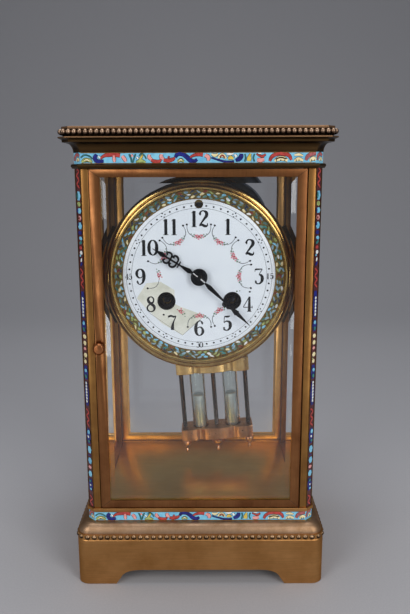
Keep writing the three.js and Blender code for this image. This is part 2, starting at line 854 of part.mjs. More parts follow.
// Dial: an enamelled copper disc, slightly domed, with a centre hole and three others
function makeDial() {
  const face = turned([
    [0, dialBack],
    [dialRadius, dialBack],
    [dialRadius, dialFront - dialDome],
    [dialRadius * 0.55, dialFront - dialDome * 0.35],
    [0, dialFront],
  ], dialSides);
  const holes = joined([
    disc(dialCentreHoleRadius, dialBack - 2, dialFront + 2),
    disc(windingHoleRadius, dialBack - 2, dialFront + 2, barrelOffset, -barrelDrop),
    disc(windingHoleRadius, dialBack - 2, dialFront + 2, -barrelOffset, -barrelDrop),
    disc(regulatorHoleRadius, dialBack - 2, dialFront + 2, 0, regulatorHoleHeight),
  ]);
  addFacing('dial', face.subtract(holes), porcelain);
}

// Where the arbors stand, seen from the front
function meetingPoint(first, firstReach, second, secondReach, side) {
  const dx = second.x - first.x;
  const dy = second.y - first.y;
  const span = Math.hypot(dx, dy);
  const along = (firstReach ** 2 - secondReach ** 2 + span ** 2) / (2 * span);
  const across = side * Math.sqrt(firstReach ** 2 - along ** 2);
  return {
    x: first.x + (along * dx - across * dy) / span,
    y: first.y + (along * dy + across * dx) / span,
  };
}

function fromBearing(origin, reach, degrees) {
  const angle = (degrees * Math.PI) / 180;
  return { x: origin.x + reach * Math.cos(angle), y: origin.y + reach * Math.sin(angle) };
}

function bearing(from, to) {
  return Math.atan2(to.y - from.y, to.x - from.x);
}

const centreArbor = { x: 0, y: 0 };
const goingBarrel = { x: barrelOffset, y: -barrelDrop };
const strikeBarrel = { x: -barrelOffset, y: -barrelDrop };
const anchorArbor = { x: 0, y: suspensionHeight };
const escapeArbor = { x: 0, y: suspensionHeight - anchorToEscape };
const greatReach = (greatModule * (greatWheelTeeth + greatPinionLeaves)) / 2;
const centreReach = (intermediateModule * (intermediateTeeth + centrePinionLeaves)) / 2;
const thirdReach = (trainModule * (centreTeeth + thirdPinionLeaves)) / 2;
const escapeReach = (thirdModule * (thirdTeeth + escapePinionLeaves)) / 2;
const strikeReach = (strikeModule * (strikeWheelTeeth + strikePinionLeaves)) / 2;
const minuteReach = (motionModule * (cannonTeeth + minuteWheelTeeth)) / 2;
const hourModule = (2 * minuteReach) / (hourPinionTeeth + hourWheelTeeth);
const intermediateArbor = meetingPoint(goingBarrel, greatReach, centreArbor, centreReach, -1);
const thirdArbor = meetingPoint(centreArbor, thirdReach, escapeArbor, escapeReach, 1);
const strikeArbor = fromBearing(strikeBarrel, greatReach, strikeIntermediateBearing);
const pinArbor = fromBearing(strikeArbor, strikeReach, pinWheelBearing);
const minuteStud = { x: 0, y: -minuteReach };
const hammerArbor = { x: hammerArborX, y: hammerArborY };
const regulatorArbor = { x: 0, y: regulatorHoleHeight - 0.6 };
const regulatorRadius = 1.1;

// Pointed teeth of a wheel, with one tooth on the given bearing.
function wheelTeeth(teeth, module, toothBearing) {
  const points = [];
  const pitch = (teeth * module) / 2;
  for (let step = 0; step < teeth; step += 1) {
    const angle = toothBearing + (2 * Math.PI * step) / teeth;
    const valley = angle + Math.PI / teeth;
    points.push([(pitch + 0.6 * module) * Math.cos(angle), (pitch + 0.6 * module) * Math.sin(angle)]);
    points.push([(pitch - 1.2 * module) * Math.cos(valley), (pitch - 1.2 * module) * Math.sin(valley)]);
  }
  return points;
}

// Slim leaves of a pinion, with one space on the given bearing.
function pinionLeaves(leaves, module, spaceBearing) {
  const points = [];
  const pitch = (leaves * module) / 2;
  const share = Math.PI / leaves;
  for (let step = 0; step < leaves; step += 1) {
    const angle = spaceBearing + share * (2 * step + 1);
    for (const [offset, rise] of [[-0.16, 0.5], [0.16, 0.5], [1, -1.1]]) {
      const radius = pitch + rise * module;
      points.push([radius * Math.cos(angle + offset * share), radius * Math.sin(angle + offset * share)]);
    }
  }
  return points;
}

// The gaps between the spokes of a wheel.
function spokeWindows(spokes, hubRadius, rimRadius, spokeWidth) {
  const windows = [];
  for (let step = 0; step < spokes; step += 1) {
    const start = (2 * Math.PI * step) / spokes;
    const end = (2 * Math.PI * (step + 1)) / spokes;
    const points = [];
    for (const [radius, isForward] of [[rimRadius, true], [hubRadius, false]]) {
      const inset = Math.asin(spokeWidth / 2 / radius);
      const arcSteps = isForward ? 3 : 1;
      for (let part = 0; part <= arcSteps; part += 1) {
        const share = isForward ? part / arcSteps : 1 - part / arcSteps;
        const angle = start + inset + share * (end - start - 2 * inset);
        points.push([radius * Math.cos(angle), radius * Math.sin(angle)]);
      }
    }
    windows.push(points);
  }
  return windows;
}

function spokedWheel(teeth, module, toothBearing, low) {
  const rim = (teeth * module) / 2 - 2.6 * module;
  const windows = spokeWindows(3, 3.0, rim, 1.3);
  return plate(wheelTeeth(teeth, module, toothBearing), windows, low, low + wheelThickness);
}

function pinion(leaves, module, spaceBearing, low, length = pinionLength) {
  return plate(pinionLeaves(leaves, module, spaceBearing), [], low, low + length);
}

// A steel arbor between the plates, with a thin pivot in each.
function arbor(radius = arborRadius) {
  const low = backPlateFront + runningGap;
  const high = frontPlateBack - runningGap;
  return joined([
    disc(radius, low, high, 0, 0, 6),
    disc(pivotRadius, backPlateBack, frontPlateFront, 0, 0, 6),
  ]);
}

function addAt(name, body, material, place) {
  const mesh = addFacing(name, body, material);
  mesh.position.set(place.x, 0, place.y);
  return mesh;
}

// Plates: round brass plates drilled for the pivots, riveted pillars on the rear one
function pivotHoles() {
  const arbors = [intermediateArbor, thirdArbor, escapeArbor, strikeArbor, pinArbor];
  return arbors.map((place) => circlePoints(pivotRadius + runningGap, 6, place.x, place.y));
}

const pillarBearings = [15, 62, 124, 250, 290];

function pillarPlaces() {
  return pillarBearings.map((degrees) => fromBearing(centreArbor, pillarCircle, degrees));
}

function makeFrontPlate() {
  const wide = windingArborRadius + runningGap;
  const holes = [
    ...pivotHoles(),
    circlePoints(pivotRadius + runningGap, 8, hammerArbor.x, hammerArbor.y),
    circlePoints(pivotRadius + runningGap, 8, anchorArbor.x, anchorArbor.y),
    circlePoints(arborRadius + runningGap, roundSides),
    circlePoints(wide, roundSides, goingBarrel.x, goingBarrel.y),
    circlePoints(wide, roundSides, strikeBarrel.x, strikeBarrel.y),
    circlePoints(regulatorRadius + runningGap, roundSides, regulatorArbor.x, regulatorArbor.y),
  ];
  const outline = circlePoints(frontPlateRadius, 36);
  const sheet = plate(outline, holes, frontPlateBack, frontPlateFront);
  const studTop = frontPlateFront + minuteStudLength;
  const stud = disc(minuteStudRadius, frontPlateBack, studTop, minuteStud.x, minuteStud.y, 8);
  addFacing('front_plate', sheet.add(stud), brass);
}

function makeBackPlate() {
  const holes = [
    ...pivotHoles(),
    circlePoints(arborRadius + runningGap, 8, hammerArbor.x, hammerArbor.y),
    circlePoints(arborRadius + 2 * runningGap, 8, anchorArbor.x, anchorArbor.y),
    circlePoints(pivotRadius + runningGap, 8),
    circlePoints(pivotRadius + runningGap, 8, goingBarrel.x, goingBarrel.y),
    circlePoints(pivotRadius + runningGap, 8, strikeBarrel.x, strikeBarrel.y),
  ];
  const sheet = plate(circlePoints(backPlateRadius, 36), holes, backPlateBack, backPlateFront);
  const notch = block(-regulatorRadius - 0.5, regulatorArbor.y - regulatorRadius - 0.5,
    backPlateBack - 1, regulatorRadius + 0.5, backPlateRadius + 1, backPlateFront + 1);
  const pillars = pillarPlaces().map((place) => disc(pillarRadius, backPlateBack, frontPlateBack,
    place.x, place.y, 8));
  const standTop = -halfDepthBehind(bellRimDepth) - bellHeight + bellWall;
  const stand = joined([
    disc(bellStandRadius, standTop + 0.1, backPlateFront, bellX, bellY, 8),
    disc(bellStudRadius, standTop - bellWall - 2, backPlateFront, bellX, bellY, 8),
  ]);
  addFacing('back_plate', joined([sheet.subtract(notch), ...pillars, stand]), brass);
}

// Turns a depth behind the front of the case into a distance behind its middle.
function halfDepthBehind(depth) {
  return depth - halfDepth;
}

// Barrels: a toothed drum that turns on a winding arbor with a squared end
const greatLow = backPlateFront + 1.6;
const drumTop = greatLow + greatWheelThickness + drumLength;

function makeBarrel(name, place, partner) {
  const bore = circlePoints(windingArborRadius + runningGap, roundSides);
  const wheel = plate(wheelTeeth(greatWheelTeeth, greatModule, bearing(place, partner)), [bore],
    greatLow, greatLow + greatWheelThickness);
  const drum = plate(circlePoints(drumRadius, 28), [bore], greatLow, drumTop);
  addAt(name + '_barrel', wheel.add(drum), brass, place);
  const tip = dialBack - windingTipSetback;
  const half = windingSquare / 2;
  const shaft = joined([
    disc(windingArborRadius, backPlateFront + runningGap, frontPlateFront + 0.6, 0, 0, roundSides),
    disc(pivotRadius, backPlateBack, backPlateFront + 1, 0, 0, 8),
    block(-half, -half, drumTop + 0.4, half, half, tip)
      .intersect(disc(windingArborRadius + 0.15, drumTop + 0.4, tip + 1)),
    disc(windingArborRadius + 1.2, drumTop + 0.3, drumTop + 1.3),
  ]);
  addAt(name + '_winding_arbor', shaft, steel, place);
}

// Going train, from the barrel to the escape wheel
const greatPinionLow = greatLow - 0.7;
const intermediateLow = drumTop + 1.6;
const centreLow = intermediateLow + wheelThickness + 1.6;
const thirdLow = backPlateFront + 12.5;
const escapeLow = backPlateFront + 4.4;

function makeGoingTrain() {
  addAt('going_intermediate_wheel', joined([
    arbor(),
    pinion(greatPinionLeaves, greatModule, bearing(intermediateArbor, goingBarrel), greatPinionLow),
    spokedWheel(intermediateTeeth, intermediateModule, bearing(intermediateArbor, centreArbor),
      intermediateLow),
  ]), brass, intermediateArbor);
  const frontEnd = cannonTop + 1.8;
  addAt('centre_wheel', joined([
    arbor(),
    disc(arborRadius, centreLow, frontEnd, 0, 0, 8),
    pinion(centrePinionLeaves, intermediateModule, bearing(centreArbor, intermediateArbor),
      intermediateLow - 1),
    spokedWheel(centreTeeth, trainModule, bearing(centreArbor, thirdArbor), centreLow),
  ]), brass, centreArbor);
  addAt('third_wheel', joined([
    arbor(1.0),
    pinion(thirdPinionLeaves, trainModule, bearing(thirdArbor, centreArbor), centreLow - 1, 3.0),
    spokedWheel(thirdTeeth, thirdModule, bearing(thirdArbor, escapeArbor), thirdLow),
  ]), brass, thirdArbor);
  addAt('escape_wheel', joined([
    arbor(0.9),
    pinion(escapePinionLeaves, thirdModule, bearing(escapeArbor, thirdArbor), thirdLow - 1),
    escapeWheel(),
  ]), brass, escapeArbor);
}

// Escape wheel with undercut teeth that all lean one way.
function escapeWheel() {
  const points = [];
  const pitch = (2 * Math.PI) / escapeTeeth;
  const root = escapeRadius - 1.7;
  for (let step = 0; step < escapeTeeth; step += 1) {
    const angle = step * pitch;
    points.push([escapeRadius * Math.cos(angle), escapeRadius * Math.sin(angle)]);
    points.push([root * Math.cos(angle + 0.62 * pitch), root * Math.sin(angle + 0.62 * pitch)]);
  }
  const windows = spokeWindows(3, 2.4, root - 1.2, 1.0);
  return plate(points, windows, escapeLow, escapeLow + 1.0);
}

// Motion work in front of the front plate
const motionLow = frontPlateFront + 0.5;
const hourLow = motionLow + motionThickness + 0.5;
const hourHandLow = dialFront + 1.2;
const minuteHandLow = hourHandLow + 2.0;
const cannonTop = minuteHandLow + handThickness + 0.4;

function makeMotionWork() {
  const cannonBore = circlePoints(arborRadius + 0.1, 8);
  const cannon = plate(pinionLeaves(cannonTeeth, motionModule, bearing(centreArbor, minuteStud)),
    [cannonBore], motionLow, motionLow + motionThickness);
  const pipe = plate(circlePoints(cannonPipeRadius, roundSides), [cannonBore], motionLow, cannonTop);
  addAt('cannon_pinion', cannon.add(pipe), steel, centreArbor);
  const studBore = circlePoints(minuteStudRadius + runningGap, 8);
  const minuteTeeth = wheelTeeth(minuteWheelTeeth, motionModule, bearing(minuteStud, centreArbor));
  const minuteWheel = plate(minuteTeeth, [studBore, ...spokeWindows(3, 3.4, 6.8, 1.2)], motionLow,
    motionLow + motionThickness);
  const minutePinion = plate(
    pinionLeaves(hourPinionTeeth, hourModule, bearing(minuteStud, centreArbor)),
    [studBore], motionLow, hourLow + motionThickness + 0.3);
  addAt('minute_wheel', minuteWheel.add(minutePinion), brass, minuteStud);
  const hourBore = circlePoints(cannonPipeRadius + runningGap, roundSides);
  const hourWheel = plate(wheelTeeth(hourWheelTeeth, hourModule, bearing(centreArbor, minuteStud)),
    [hourBore], hourLow, hourLow + motionThickness);
  const hourPipe = plate(circlePoints(hourPipeRadius, roundSides), [hourBore], hourLow,
    hourHandLow + handThickness);
  addAt('hour_wheel', hourWheel.add(hourPipe), brass, centreArbor);
}

// Hands: pierced steel, drawn pointing up and turned to the time
function bothSides(right) {
  const left = right.map(([x, y]) => [-x, y]).reverse();
  return [...right, ...left];
}

function handBody(right, bore, low, length) {
  const blade = plate(bothSides(right.map(([x, y]) => [x, y * length])), [], low, low + handThickness);
  const hub = disc(handHubRadius, low, low + handThickness, 0, 0, handSides);
  const hole = disc(bore, low - 1, low + handThickness + 1, 0, 0, handSides);
  return blade.add(hub).subtract(hole);
}

const hourHandOutline = [
  [0.8, 0], [0.8, 0.16], [1.9, 0.2], [0.7, 0.42], [0.7, 0.44], [2.2, 0.43], [2.2, 0.47], [0.7, 0.46],
  [0.7, 0.5], [3.2, 0.49], [4.2, 0.53], [4.0, 0.59], [2.9, 0.61], [2.6, 0.58], [3.2, 0.56],
  [2.8, 0.54], [1.4, 0.56], [1.2, 0.6], [2.9, 0.66], [3.2, 0.71], [2.4, 0.72], [0.8, 0.66],
  [0.6, 0.68], [1.9, 0.76], [1.6, 0.8], [0.3, 0.88], [0.15, 1],
];

const minuteHandOutline = [
  [0.8, 0], [0.8, 0.12], [1.9, 0.17], [0.7, 0.5], [0.7, 0.55], [2.3, 0.55], [2.3, 0.575],
  [0.9, 0.585], [1.7, 0.66], [0.5, 0.78], [0.15, 1],
];

function makeHands() {
  const hour = addAt('hour_hand', handBody(hourHandOutline, hourPipeRadius + 0.1, hourHandLow,
    hourHandLength), bluedBlack, centreArbor);
  hour.rotation.y = (hourHandAngle * Math.PI) / 180;
  const minute = addAt('minute_hand', handBody(minuteHandOutline, cannonPipeRadius + 0.1,
    minuteHandLow, minuteHandLength), bluedBlack, centreArbor);
  minute.rotation.y = (minuteHandAngle * Math.PI) / 180;
}

// Strike train, hammer and bell
const pinWheelLow = backPlateFront + 17.0;

function makeStrikeTrain() {
  addAt('strike_intermediate_wheel', joined([
    arbor(),
    pinion(greatPinionLeaves, greatModule, bearing(strikeArbor, strikeBarrel), greatPinionLow),
    spokedWheel(strikeWheelTeeth, strikeModule, bearing(strikeArbor, pinArbor), intermediateLow),
  ]), brass, strikeArbor);
  const pins = circlePoints(pinWheelRadius - 1.5, pinWheelPins).map(([x, y]) => disc(0.5,
    pinWheelLow, pinWheelLow + wheelThickness + pinLength, x, y, 5));
  const rim = plate(circlePoints(pinWheelRadius, 24), spokeWindows(3, 2.6, pinWheelRadius - 2.6, 1.2),
    pinWheelLow, pinWheelLow + wheelThickness);
  addAt('pin_wheel', joined([
    arbor(1.0),
    pinion(strikePinionLeaves, strikeModule, bearing(pinArbor, strikeArbor), intermediateLow - 1),
    rim,
    ...pins,
  ]), brass, pinArbor);
}

function hammerHeadPlace() {
  const reach = bellRadius + hammerHeadRadius + hammerStandOff;
  return fromBearing({ x: bellX, y: bellY }, reach, hammerBearing);
}

// The hammer's arbor carries a tail near the pins and an arm behind the back plate.
function makeHammer() {
  const head = hammerHeadPlace();
  const x = head.x - hammerArbor.x;
  const y = head.y - hammerArbor.y;
  const length = Math.hypot(x, y);
  const rimZ = -halfDepthBehind(bellRimDepth);
  const armLow = backPlateBack - 3.0;
  const turn = (Math.atan2(y, x) * 180) / Math.PI;
  const arm = block(0, -0.9, armLow, length, 0.9, armLow + 1.6).rotate([0, 0, turn]);
  const post = disc(1.0, rimZ - 1, armLow + 1.6, x, y, 8);
  const headBody = disc(hammerHeadRadius, rimZ - hammerHeadLength, rimZ + 0.5, x, y, 16);
  const tailTurn = (bearing(hammerArbor, pinArbor) * 180) / Math.PI;
  const tailReach = Math.hypot(pinArbor.x - hammerArbor.x, pinArbor.y - hammerArbor.y)
    - pinWheelRadius - 0.6;
  const tailLow = pinWheelLow + wheelThickness + 0.6;
  const tail = block(0, -0.8, tailLow, tailReach, 0.8, tailLow + 1.6).rotate([0, 0, tailTurn]);
  const shaft = joined([
    disc(arborRadius, armLow, frontPlateBack - runningGap, 0, 0, 8),
    disc(pivotRadius, armLow, frontPlateFront, 0, 0, 8),
  ]);
  addAt('hammer', joined([shaft, arm, post, headBody, tail]), steel, hammerArbor);
}

function makeBell() {
  const rim = -halfDepthBehind(bellRimDepth);
  const apex = rim - bellHeight;
  const hole = bellStudRadius + 0.2;
  const bell = ringBody([
    [bellRadius, rim],
    [bellRadius - bellWall, rim],
    [bellRadius * 0.84 - bellWall, apex + bellHeight * 0.5],
    [bellRadius * 0.5, apex + bellHeight * 0.14 + bellWall],
    [hole, apex + bellWall],
    [hole, apex],
    [bellRadius * 0.54, apex + bellHeight * 0.14],
    [bellRadius * 0.86, apex + bellHeight * 0.5],
  ], 28);
  addAt('bell', bell, bellMetal, { x: bellX, y: bellY });
}

// Suspension: a cock on the back plate that carries the pendulum and the rear end of the anchor
const pendulumPlane = -halfDepthBehind(pendulumDepth);
const cockFront = backPlateBack - 4.2;
const cockBack = cockFront - 2.0;

function makeSuspensionCock() {
  const cheek = 1.1;
  const slot = springWidth / 2 + 0.2;
  const rearLow = pendulumPlane - slot - cheek;
  const frontHigh = pendulumPlane + slot + cheek;
  const outline = [[-12.5, -3.4], [12.5, -3.4], [12.5, 2.2], [5, 7.4], [-5, 7.4], [-12.5, 2.2]];
  const bridge = plate(outline, [
    circlePoints(pivotRadius + runningGap, 8),
    circlePoints(regulatorRadius + runningGap, 8, 0, regulatorArbor.y - anchorArbor.y),
  ], cockBack, cockFront);
  const feet = [-10, 10].map((x) => disc(2.2, cockBack, backPlateBack, x, -0.7, 8));
  const pinHole = circlePoints(suspensionPinRadius + runningGap, 8);
  const lobe = rectanglePoints(-2.8, -2.6, 2.8, 3.6);
  const frontCheek = plate(lobe, [pinHole], pendulumPlane + slot, Math.min(frontHigh, cockBack));
  const rearCheek = plate(lobe, [pinHole], rearLow, pendulumPlane - slot);
  const web = block(-2.8, 2.0, rearLow, 2.8, 3.6, cockBack + 0.5);
  const topStay = web.subtract(disc(regulatorRadius + runningGap, rearLow - 1, cockBack + 1, 0,
    regulatorArbor.y - anchorArbor.y, 8));
  addAt('suspension_cock', joined([bridge, ...feet, frontCheek, rearCheek, topStay]), brass,
    anchorArbor);
}

function makeRegulator() {
  const tip = dialBack - 0.5;
  const half = 0.75;
  const shaft = joined([
    disc(regulatorRadius, cockBack - 0.6, tip - 3, 0, 0, 8),
    block(-half, -half, tip - 4, half, half, tip),
  ]);
  addAt('regulator_arbor', shaft, steel, regulatorArbor);
}

// Anchor: two pallets over the escape wheel, and a crutch whose fork takes the pendulum rod
function makeAnchor() {
  const reach = escapeRadius + 2.2;
  const tangent = Math.acos(escapeRadius / anchorToEscape);
  const padX = reach * Math.sin(tangent);
  const padY = reach * Math.cos(tangent) - anchorToEscape;
  const right = [
    [2.4, 1.6], [padX + 2.4, padY + 2.2], [padX + 2.0, padY - 1.2], [padX + 0.4, padY - 0.4],
    [padX, padY + 1.4], [1.8, -1.8],
  ];
  const outline = [...right, ...right.map(([x, y]) => [-x, y]).reverse()].reverse();
  const pallets = plate(outline, [], escapeLow - 0.4, escapeLow + 1.4);
  const shaft = joined([
    disc(arborRadius, cockFront + runningGap, frontPlateBack - runningGap, 0, 0, 8),
    disc(pivotRadius, cockBack + 0.2, frontPlateFront, 0, 0, 8),
  ]);
  const armLow = backPlateBack - 2.2;
  const armHigh = armLow + crutchThickness;
  const footLow = -crutchLength - crutchFoot / 2;
  const footHigh = footLow + crutchFoot;
  const arm = block(-crutchArmWidth / 2, footHigh - 0.5, armLow, crutchArmWidth / 2, 1.0, armHigh);
  const bar = block(-crutchSpan / 2, footLow, armLow, crutchSpan / 2, footHigh, armHigh);
  const prongs = [-1, 1].map((side) => {
    const middle = (side * (crutchSpan - prongWidth)) / 2;
    return block(middle - prongWidth / 2, footLow, pendulumPlane - prongReach,
      middle + prongWidth / 2, footHigh, armLow + 0.5);
  });
  const anchor = addAt('pallet_anchor', joined([pallets, shaft, arm, bar, ...prongs]), steel,
    anchorArbor);
  anchor.rotation.y = (-pendulumLean * Math.PI) / 180;
}

// Pendulum, drawn hanging from its pin and then leaned as it is found
const pendulum = new THREE.Group();
pendulum.position.set(0, -pendulumPlane, dialHeight + suspensionHeight);
pendulum.rotation.y = (-pendulumLean * Math.PI) / 180;
clock.add(pendulum);
const topBracketLow = -topBracketDrop - topBracketHeight;
const bottomBracketTop = -bottomBracketDrop;
const bottomBracketLow = bottomBracketTop - bottomBracketHeight;

// The scalloped outline of both brackets, seen from above.
function bracketOutline() {
  const shape = new THREE.Shape();
  const x = bracketHalfWidth;
  const y = bracketHalfDepth;
  const waist = y - 1.4;
  const lobe = x * 0.375;
  const bay = x * 0.545;
  shape.moveTo(-lobe, -waist);
  shape.quadraticCurveTo(0, -y - 1.4, lobe, -waist);
  shape.quadraticCurveTo((lobe + bay) / 2, -waist + 2.4, bay, -waist);
  shape.quadraticCurveTo((bay + x) / 2, -y - 0.6, x, -waist);
  shape.lineTo(x, waist);
  shape.quadraticCurveTo((bay + x) / 2, y + 0.6, bay, waist);
  shape.quadraticCurveTo((lobe + bay) / 2, waist - 2.4, lobe, waist);
  shape.quadraticCurveTo(0, y + 1.4, -lobe, waist);
  shape.quadraticCurveTo(-(lobe + bay) / 2, waist - 2.4, -bay, waist);
  shape.quadraticCurveTo(-(bay + x) / 2, y + 0.6, -x, waist);
  shape.lineTo(-x, -waist);
  shape.quadraticCurveTo(-(bay + x) / 2, -y - 0.6, -bay, -waist);
  shape.quadraticCurveTo(-(lobe + bay) / 2, -waist + 2.4, -lobe, -waist);
  const points = shape.getPoints(3).map((point) => [point.x, point.y]);
  points.pop();
  return points;
}

function makeBrackets() {
  const rodHole = circlePoints(rodRadius + 0.3, roundSides);
  const tieHoles = [-1, 1].map((side) => circlePoints(tieRodRadius + 0.3, 8, side * tieRodOffset, 0));
  const sockets = (low, high) => joined([-1, 1].map((side) => disc(tubeRadius + 0.3, low, high,
    side * tubeOffset, 0, roundSides)));
  const top = plate(bracketOutline(), [rodHole, ...tieHoles], topBracketLow, -topBracketDrop)
    .subtract(sockets(topBracketLow - 1, topBracketLow + tubeSocket));
  addPiece('pendulum_top_bracket', top, brass, pendulum);
  const bottom = plate(bracketOutline(), [rodHole, ...tieHoles], bottomBracketLow, bottomBracketTop)
    .subtract(sockets(bottomBracketTop - tubeSocket, bottomBracketTop + 1));
  addPiece('pendulum_bottom_bracket', bottom, brass, pendulum);
}

// The turned nut that ends a rod under the bottom bracket, as a profile from its tip up.
function finialProfile(finial) {
  const { length, radius, belly } = finial;
  const foot = bottomBracketLow - seatGap - length;
  return [
    [0, foot],
    [1.0, foot + length * 0.05],
    [1.5, foot + length * 0.15],
    [0.9, foot + length * 0.28],
    [radius * 0.7, foot + length * (belly - 0.14)],
    [radius, foot + length * belly],
    [radius * 0.7, foot + length * (belly + 0.14)],
    [1.6, foot + length * (belly + 0.2)],
    [2.0, foot + length],
  ];
}

function makeRods() {
  const rodTop = -springLength - 3;
  const rod = turned([
    ...finialProfile(rodFinial),
    [rodRadius, bottomBracketLow - seatGap],
    [rodRadius, rodTop],
    [0, rodTop],
  ]);
  const strip = block(-springThickness / 2, -springWidth / 2, rodTop - 1, springThickness / 2,
    springWidth / 2, 0);
  const hook = block(-hookHalfWidth, -springWidth / 2, -springLength - hookHeight, hookHalfWidth,
    springWidth / 2, -springLength);
  const pinHalf = springWidth / 2 + 0.9;
  const pin = disc(suspensionPinRadius, -pinHalf, pinHalf, 0, 0, 8).rotate([90, 0, 0]);
  addPiece('pendulum_rod', joined([rod, strip, hook, pin]), steel, pendulum);
  for (const [name, side] of [['left', -1], ['right', 1]]) {
    const top = -topBracketDrop + 1.2;
    const tie = turned([
      ...finialProfile(tieFinial),
      [tieRodRadius, bottomBracketLow - seatGap],
      [tieRodRadius, top],
      [0, top],
    ], 10);
    const mesh = addPiece('tie_rod_' + name, tie, steel, pendulum);
    mesh.position.x = side * tieRodOffset;
  }
}

// Glass tubes seated in both brackets, each with its column of mercury
function makeTubes() {
  const foot = bottomBracketTop - tubeSocket + seatGap;
  const head = topBracketLow + tubeSocket - seatGap;
  const wall = tubeRadius - tubeBore;
  const bottom = foot + wall + 0.6;
  const level = bottom + (topBracketLow - bottomBracketTop) * mercuryShare;
  for (const [name, side] of [['left', -1], ['right', 1]]) {
    const tube = turned([
      [0, foot],
      [tubeRadius * 0.55, foot],
      [tubeRadius * 0.88, foot + 1.1],
      [tubeRadius, foot + 2.8],
      [tubeRadius, head],
      [tubeBore, head],
      [tubeBore, bottom + 2.4],
      [tubeBore * 0.6, bottom + 0.4],
      [0, bottom],
    ], tubeSides);
    const tubeMesh = addPiece('mercury_tube_' + name, tube, bevelledGlass, pendulum);
    tubeMesh.position.x = side * tubeOffset;
    const column = tubeBore - seatGap;
    const fill = turned([
      [0, bottom + seatGap],
      [column * 0.5, bottom + seatGap + 0.5],
      [column, bottom + seatGap + 2.6],
      [column, level - 0.5],
      [column * 0.6, level],
      [0, level + 0.2],
    ], tubeSides);
    const fillMesh = addPiece('mercury_' + name, fill, mercury, pendulum);
    fillMesh.position.x = side * tubeOffset;
  }
}

makeBase();
makeBand('base_enamel_band', bandBottom, baseBandHeight);
makeFloor();
makePosts();
makeCap();
makeBand('cap_enamel_band', capBandBottom, capBandHeight);
makeSidePanels();
makeDoors();
makeMountingRing();
makeBezel();
makeEnamelRing();
makeDial();
makeFrontPlate();
makeBackPlate();
makeBarrel('going', goingBarrel, intermediateArbor);
makeBarrel('strike', strikeBarrel, strikeArbor);
makeGoingTrain();
makeMotionWork();
makeHands();
makeStrikeTrain();
makeHammer();
makeBell();
makeSuspensionCock();
makeRegulator();
makeAnchor();
makeBrackets();
makeRods();
makeTubes();

export default clock;
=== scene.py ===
import math

import bpy
from mathutils import Matrix, Vector


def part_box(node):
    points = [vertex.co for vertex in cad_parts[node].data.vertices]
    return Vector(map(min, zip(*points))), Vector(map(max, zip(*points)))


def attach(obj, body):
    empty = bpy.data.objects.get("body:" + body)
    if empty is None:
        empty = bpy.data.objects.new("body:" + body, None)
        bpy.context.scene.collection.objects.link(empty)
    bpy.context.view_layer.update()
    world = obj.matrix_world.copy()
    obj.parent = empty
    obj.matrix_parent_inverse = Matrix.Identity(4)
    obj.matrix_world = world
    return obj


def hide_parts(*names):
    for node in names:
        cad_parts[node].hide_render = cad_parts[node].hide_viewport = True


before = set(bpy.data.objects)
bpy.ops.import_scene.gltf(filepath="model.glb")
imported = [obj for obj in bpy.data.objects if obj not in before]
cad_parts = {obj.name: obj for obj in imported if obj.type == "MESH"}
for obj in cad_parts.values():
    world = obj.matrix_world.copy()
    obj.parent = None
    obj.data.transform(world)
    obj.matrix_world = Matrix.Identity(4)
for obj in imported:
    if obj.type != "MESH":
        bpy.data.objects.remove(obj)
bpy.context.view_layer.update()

# Viewpoint: close in front of the clock, almost level with its top, looking slightly down past the dial.
# The lens, height and tilt come from the way the case's edges run together in the photograph.
MM = 0.001
camera_data = bpy.data.cameras.new("studio_camera")
camera_data.lens = 37.66
camera_data.clip_start = 0.01
camera = bpy.data.objects.new("studio_camera", camera_data)
camera.location = Vector((4.1, -422.8, 252.0)) * MM
camera.rotation_euler = [math.radians(turn) for turn in (90 - 11.612, 0.2, 0.06)]
bpy.context.scene.collection.objects.link(camera)
bpy.context.scene.camera = camera


# Setting: a plain pale sheet under and behind the clock, lit by two tall soft boxes in front, one overhead
# and a pale surround, so that brass and glass have something calm to mirror. Two small lit cards low in
# front draw the fine upright lights on the rods, tubes and turned edges.
def linear(code):
    """An sRGB hex colour as linear red, green, blue and alpha."""
    shares = [int(code[place:place + 2], 16) / 255 for place in (1, 3, 5)]
    curve = [s / 12.92 if s <= 0.04045 else ((s + 0.055) / 1.055) ** 2.4 for s in shares]
    return [*curve, 1.0]


def feed(material, node, sockets):
    """Gives each named socket of a node its value, or the output that is linked to it."""
    for name, value in sockets.items():
        if isinstance(value, bpy.types.NodeSocket):
            material.node_tree.links.new(value, node.inputs[name])
        else:
            node.inputs[name].default_value = value


def add_node(material, kind, settings, sockets, stops=()):
    """Adds a shader node with its settings and links, and the stops of a colour ramp."""
    node = material.node_tree.nodes.new("ShaderNode" + kind)
    for name, value in settings.items():
        setattr(node, name, value)
    feed(material, node, sockets)
    if stops:
        ramp = node.color_ramp
        while len(ramp.elements) < len(stops):
            ramp.elements.new(0.5)
        for element, (place, colour) in zip(ramp.elements, stops):
            element.position = place
            element.color = colour
    return node


def new_finish(name):
    """A new material, its main shader, and the place on the object by which its patterns are laid."""
    material = bpy.data.materials.new(name)
    material.use_nodes = True
    place = add_node(material, "TexCoord", {}, {}).outputs["Object"]
    return material, material.node_tree.nodes["Principled BSDF"], place


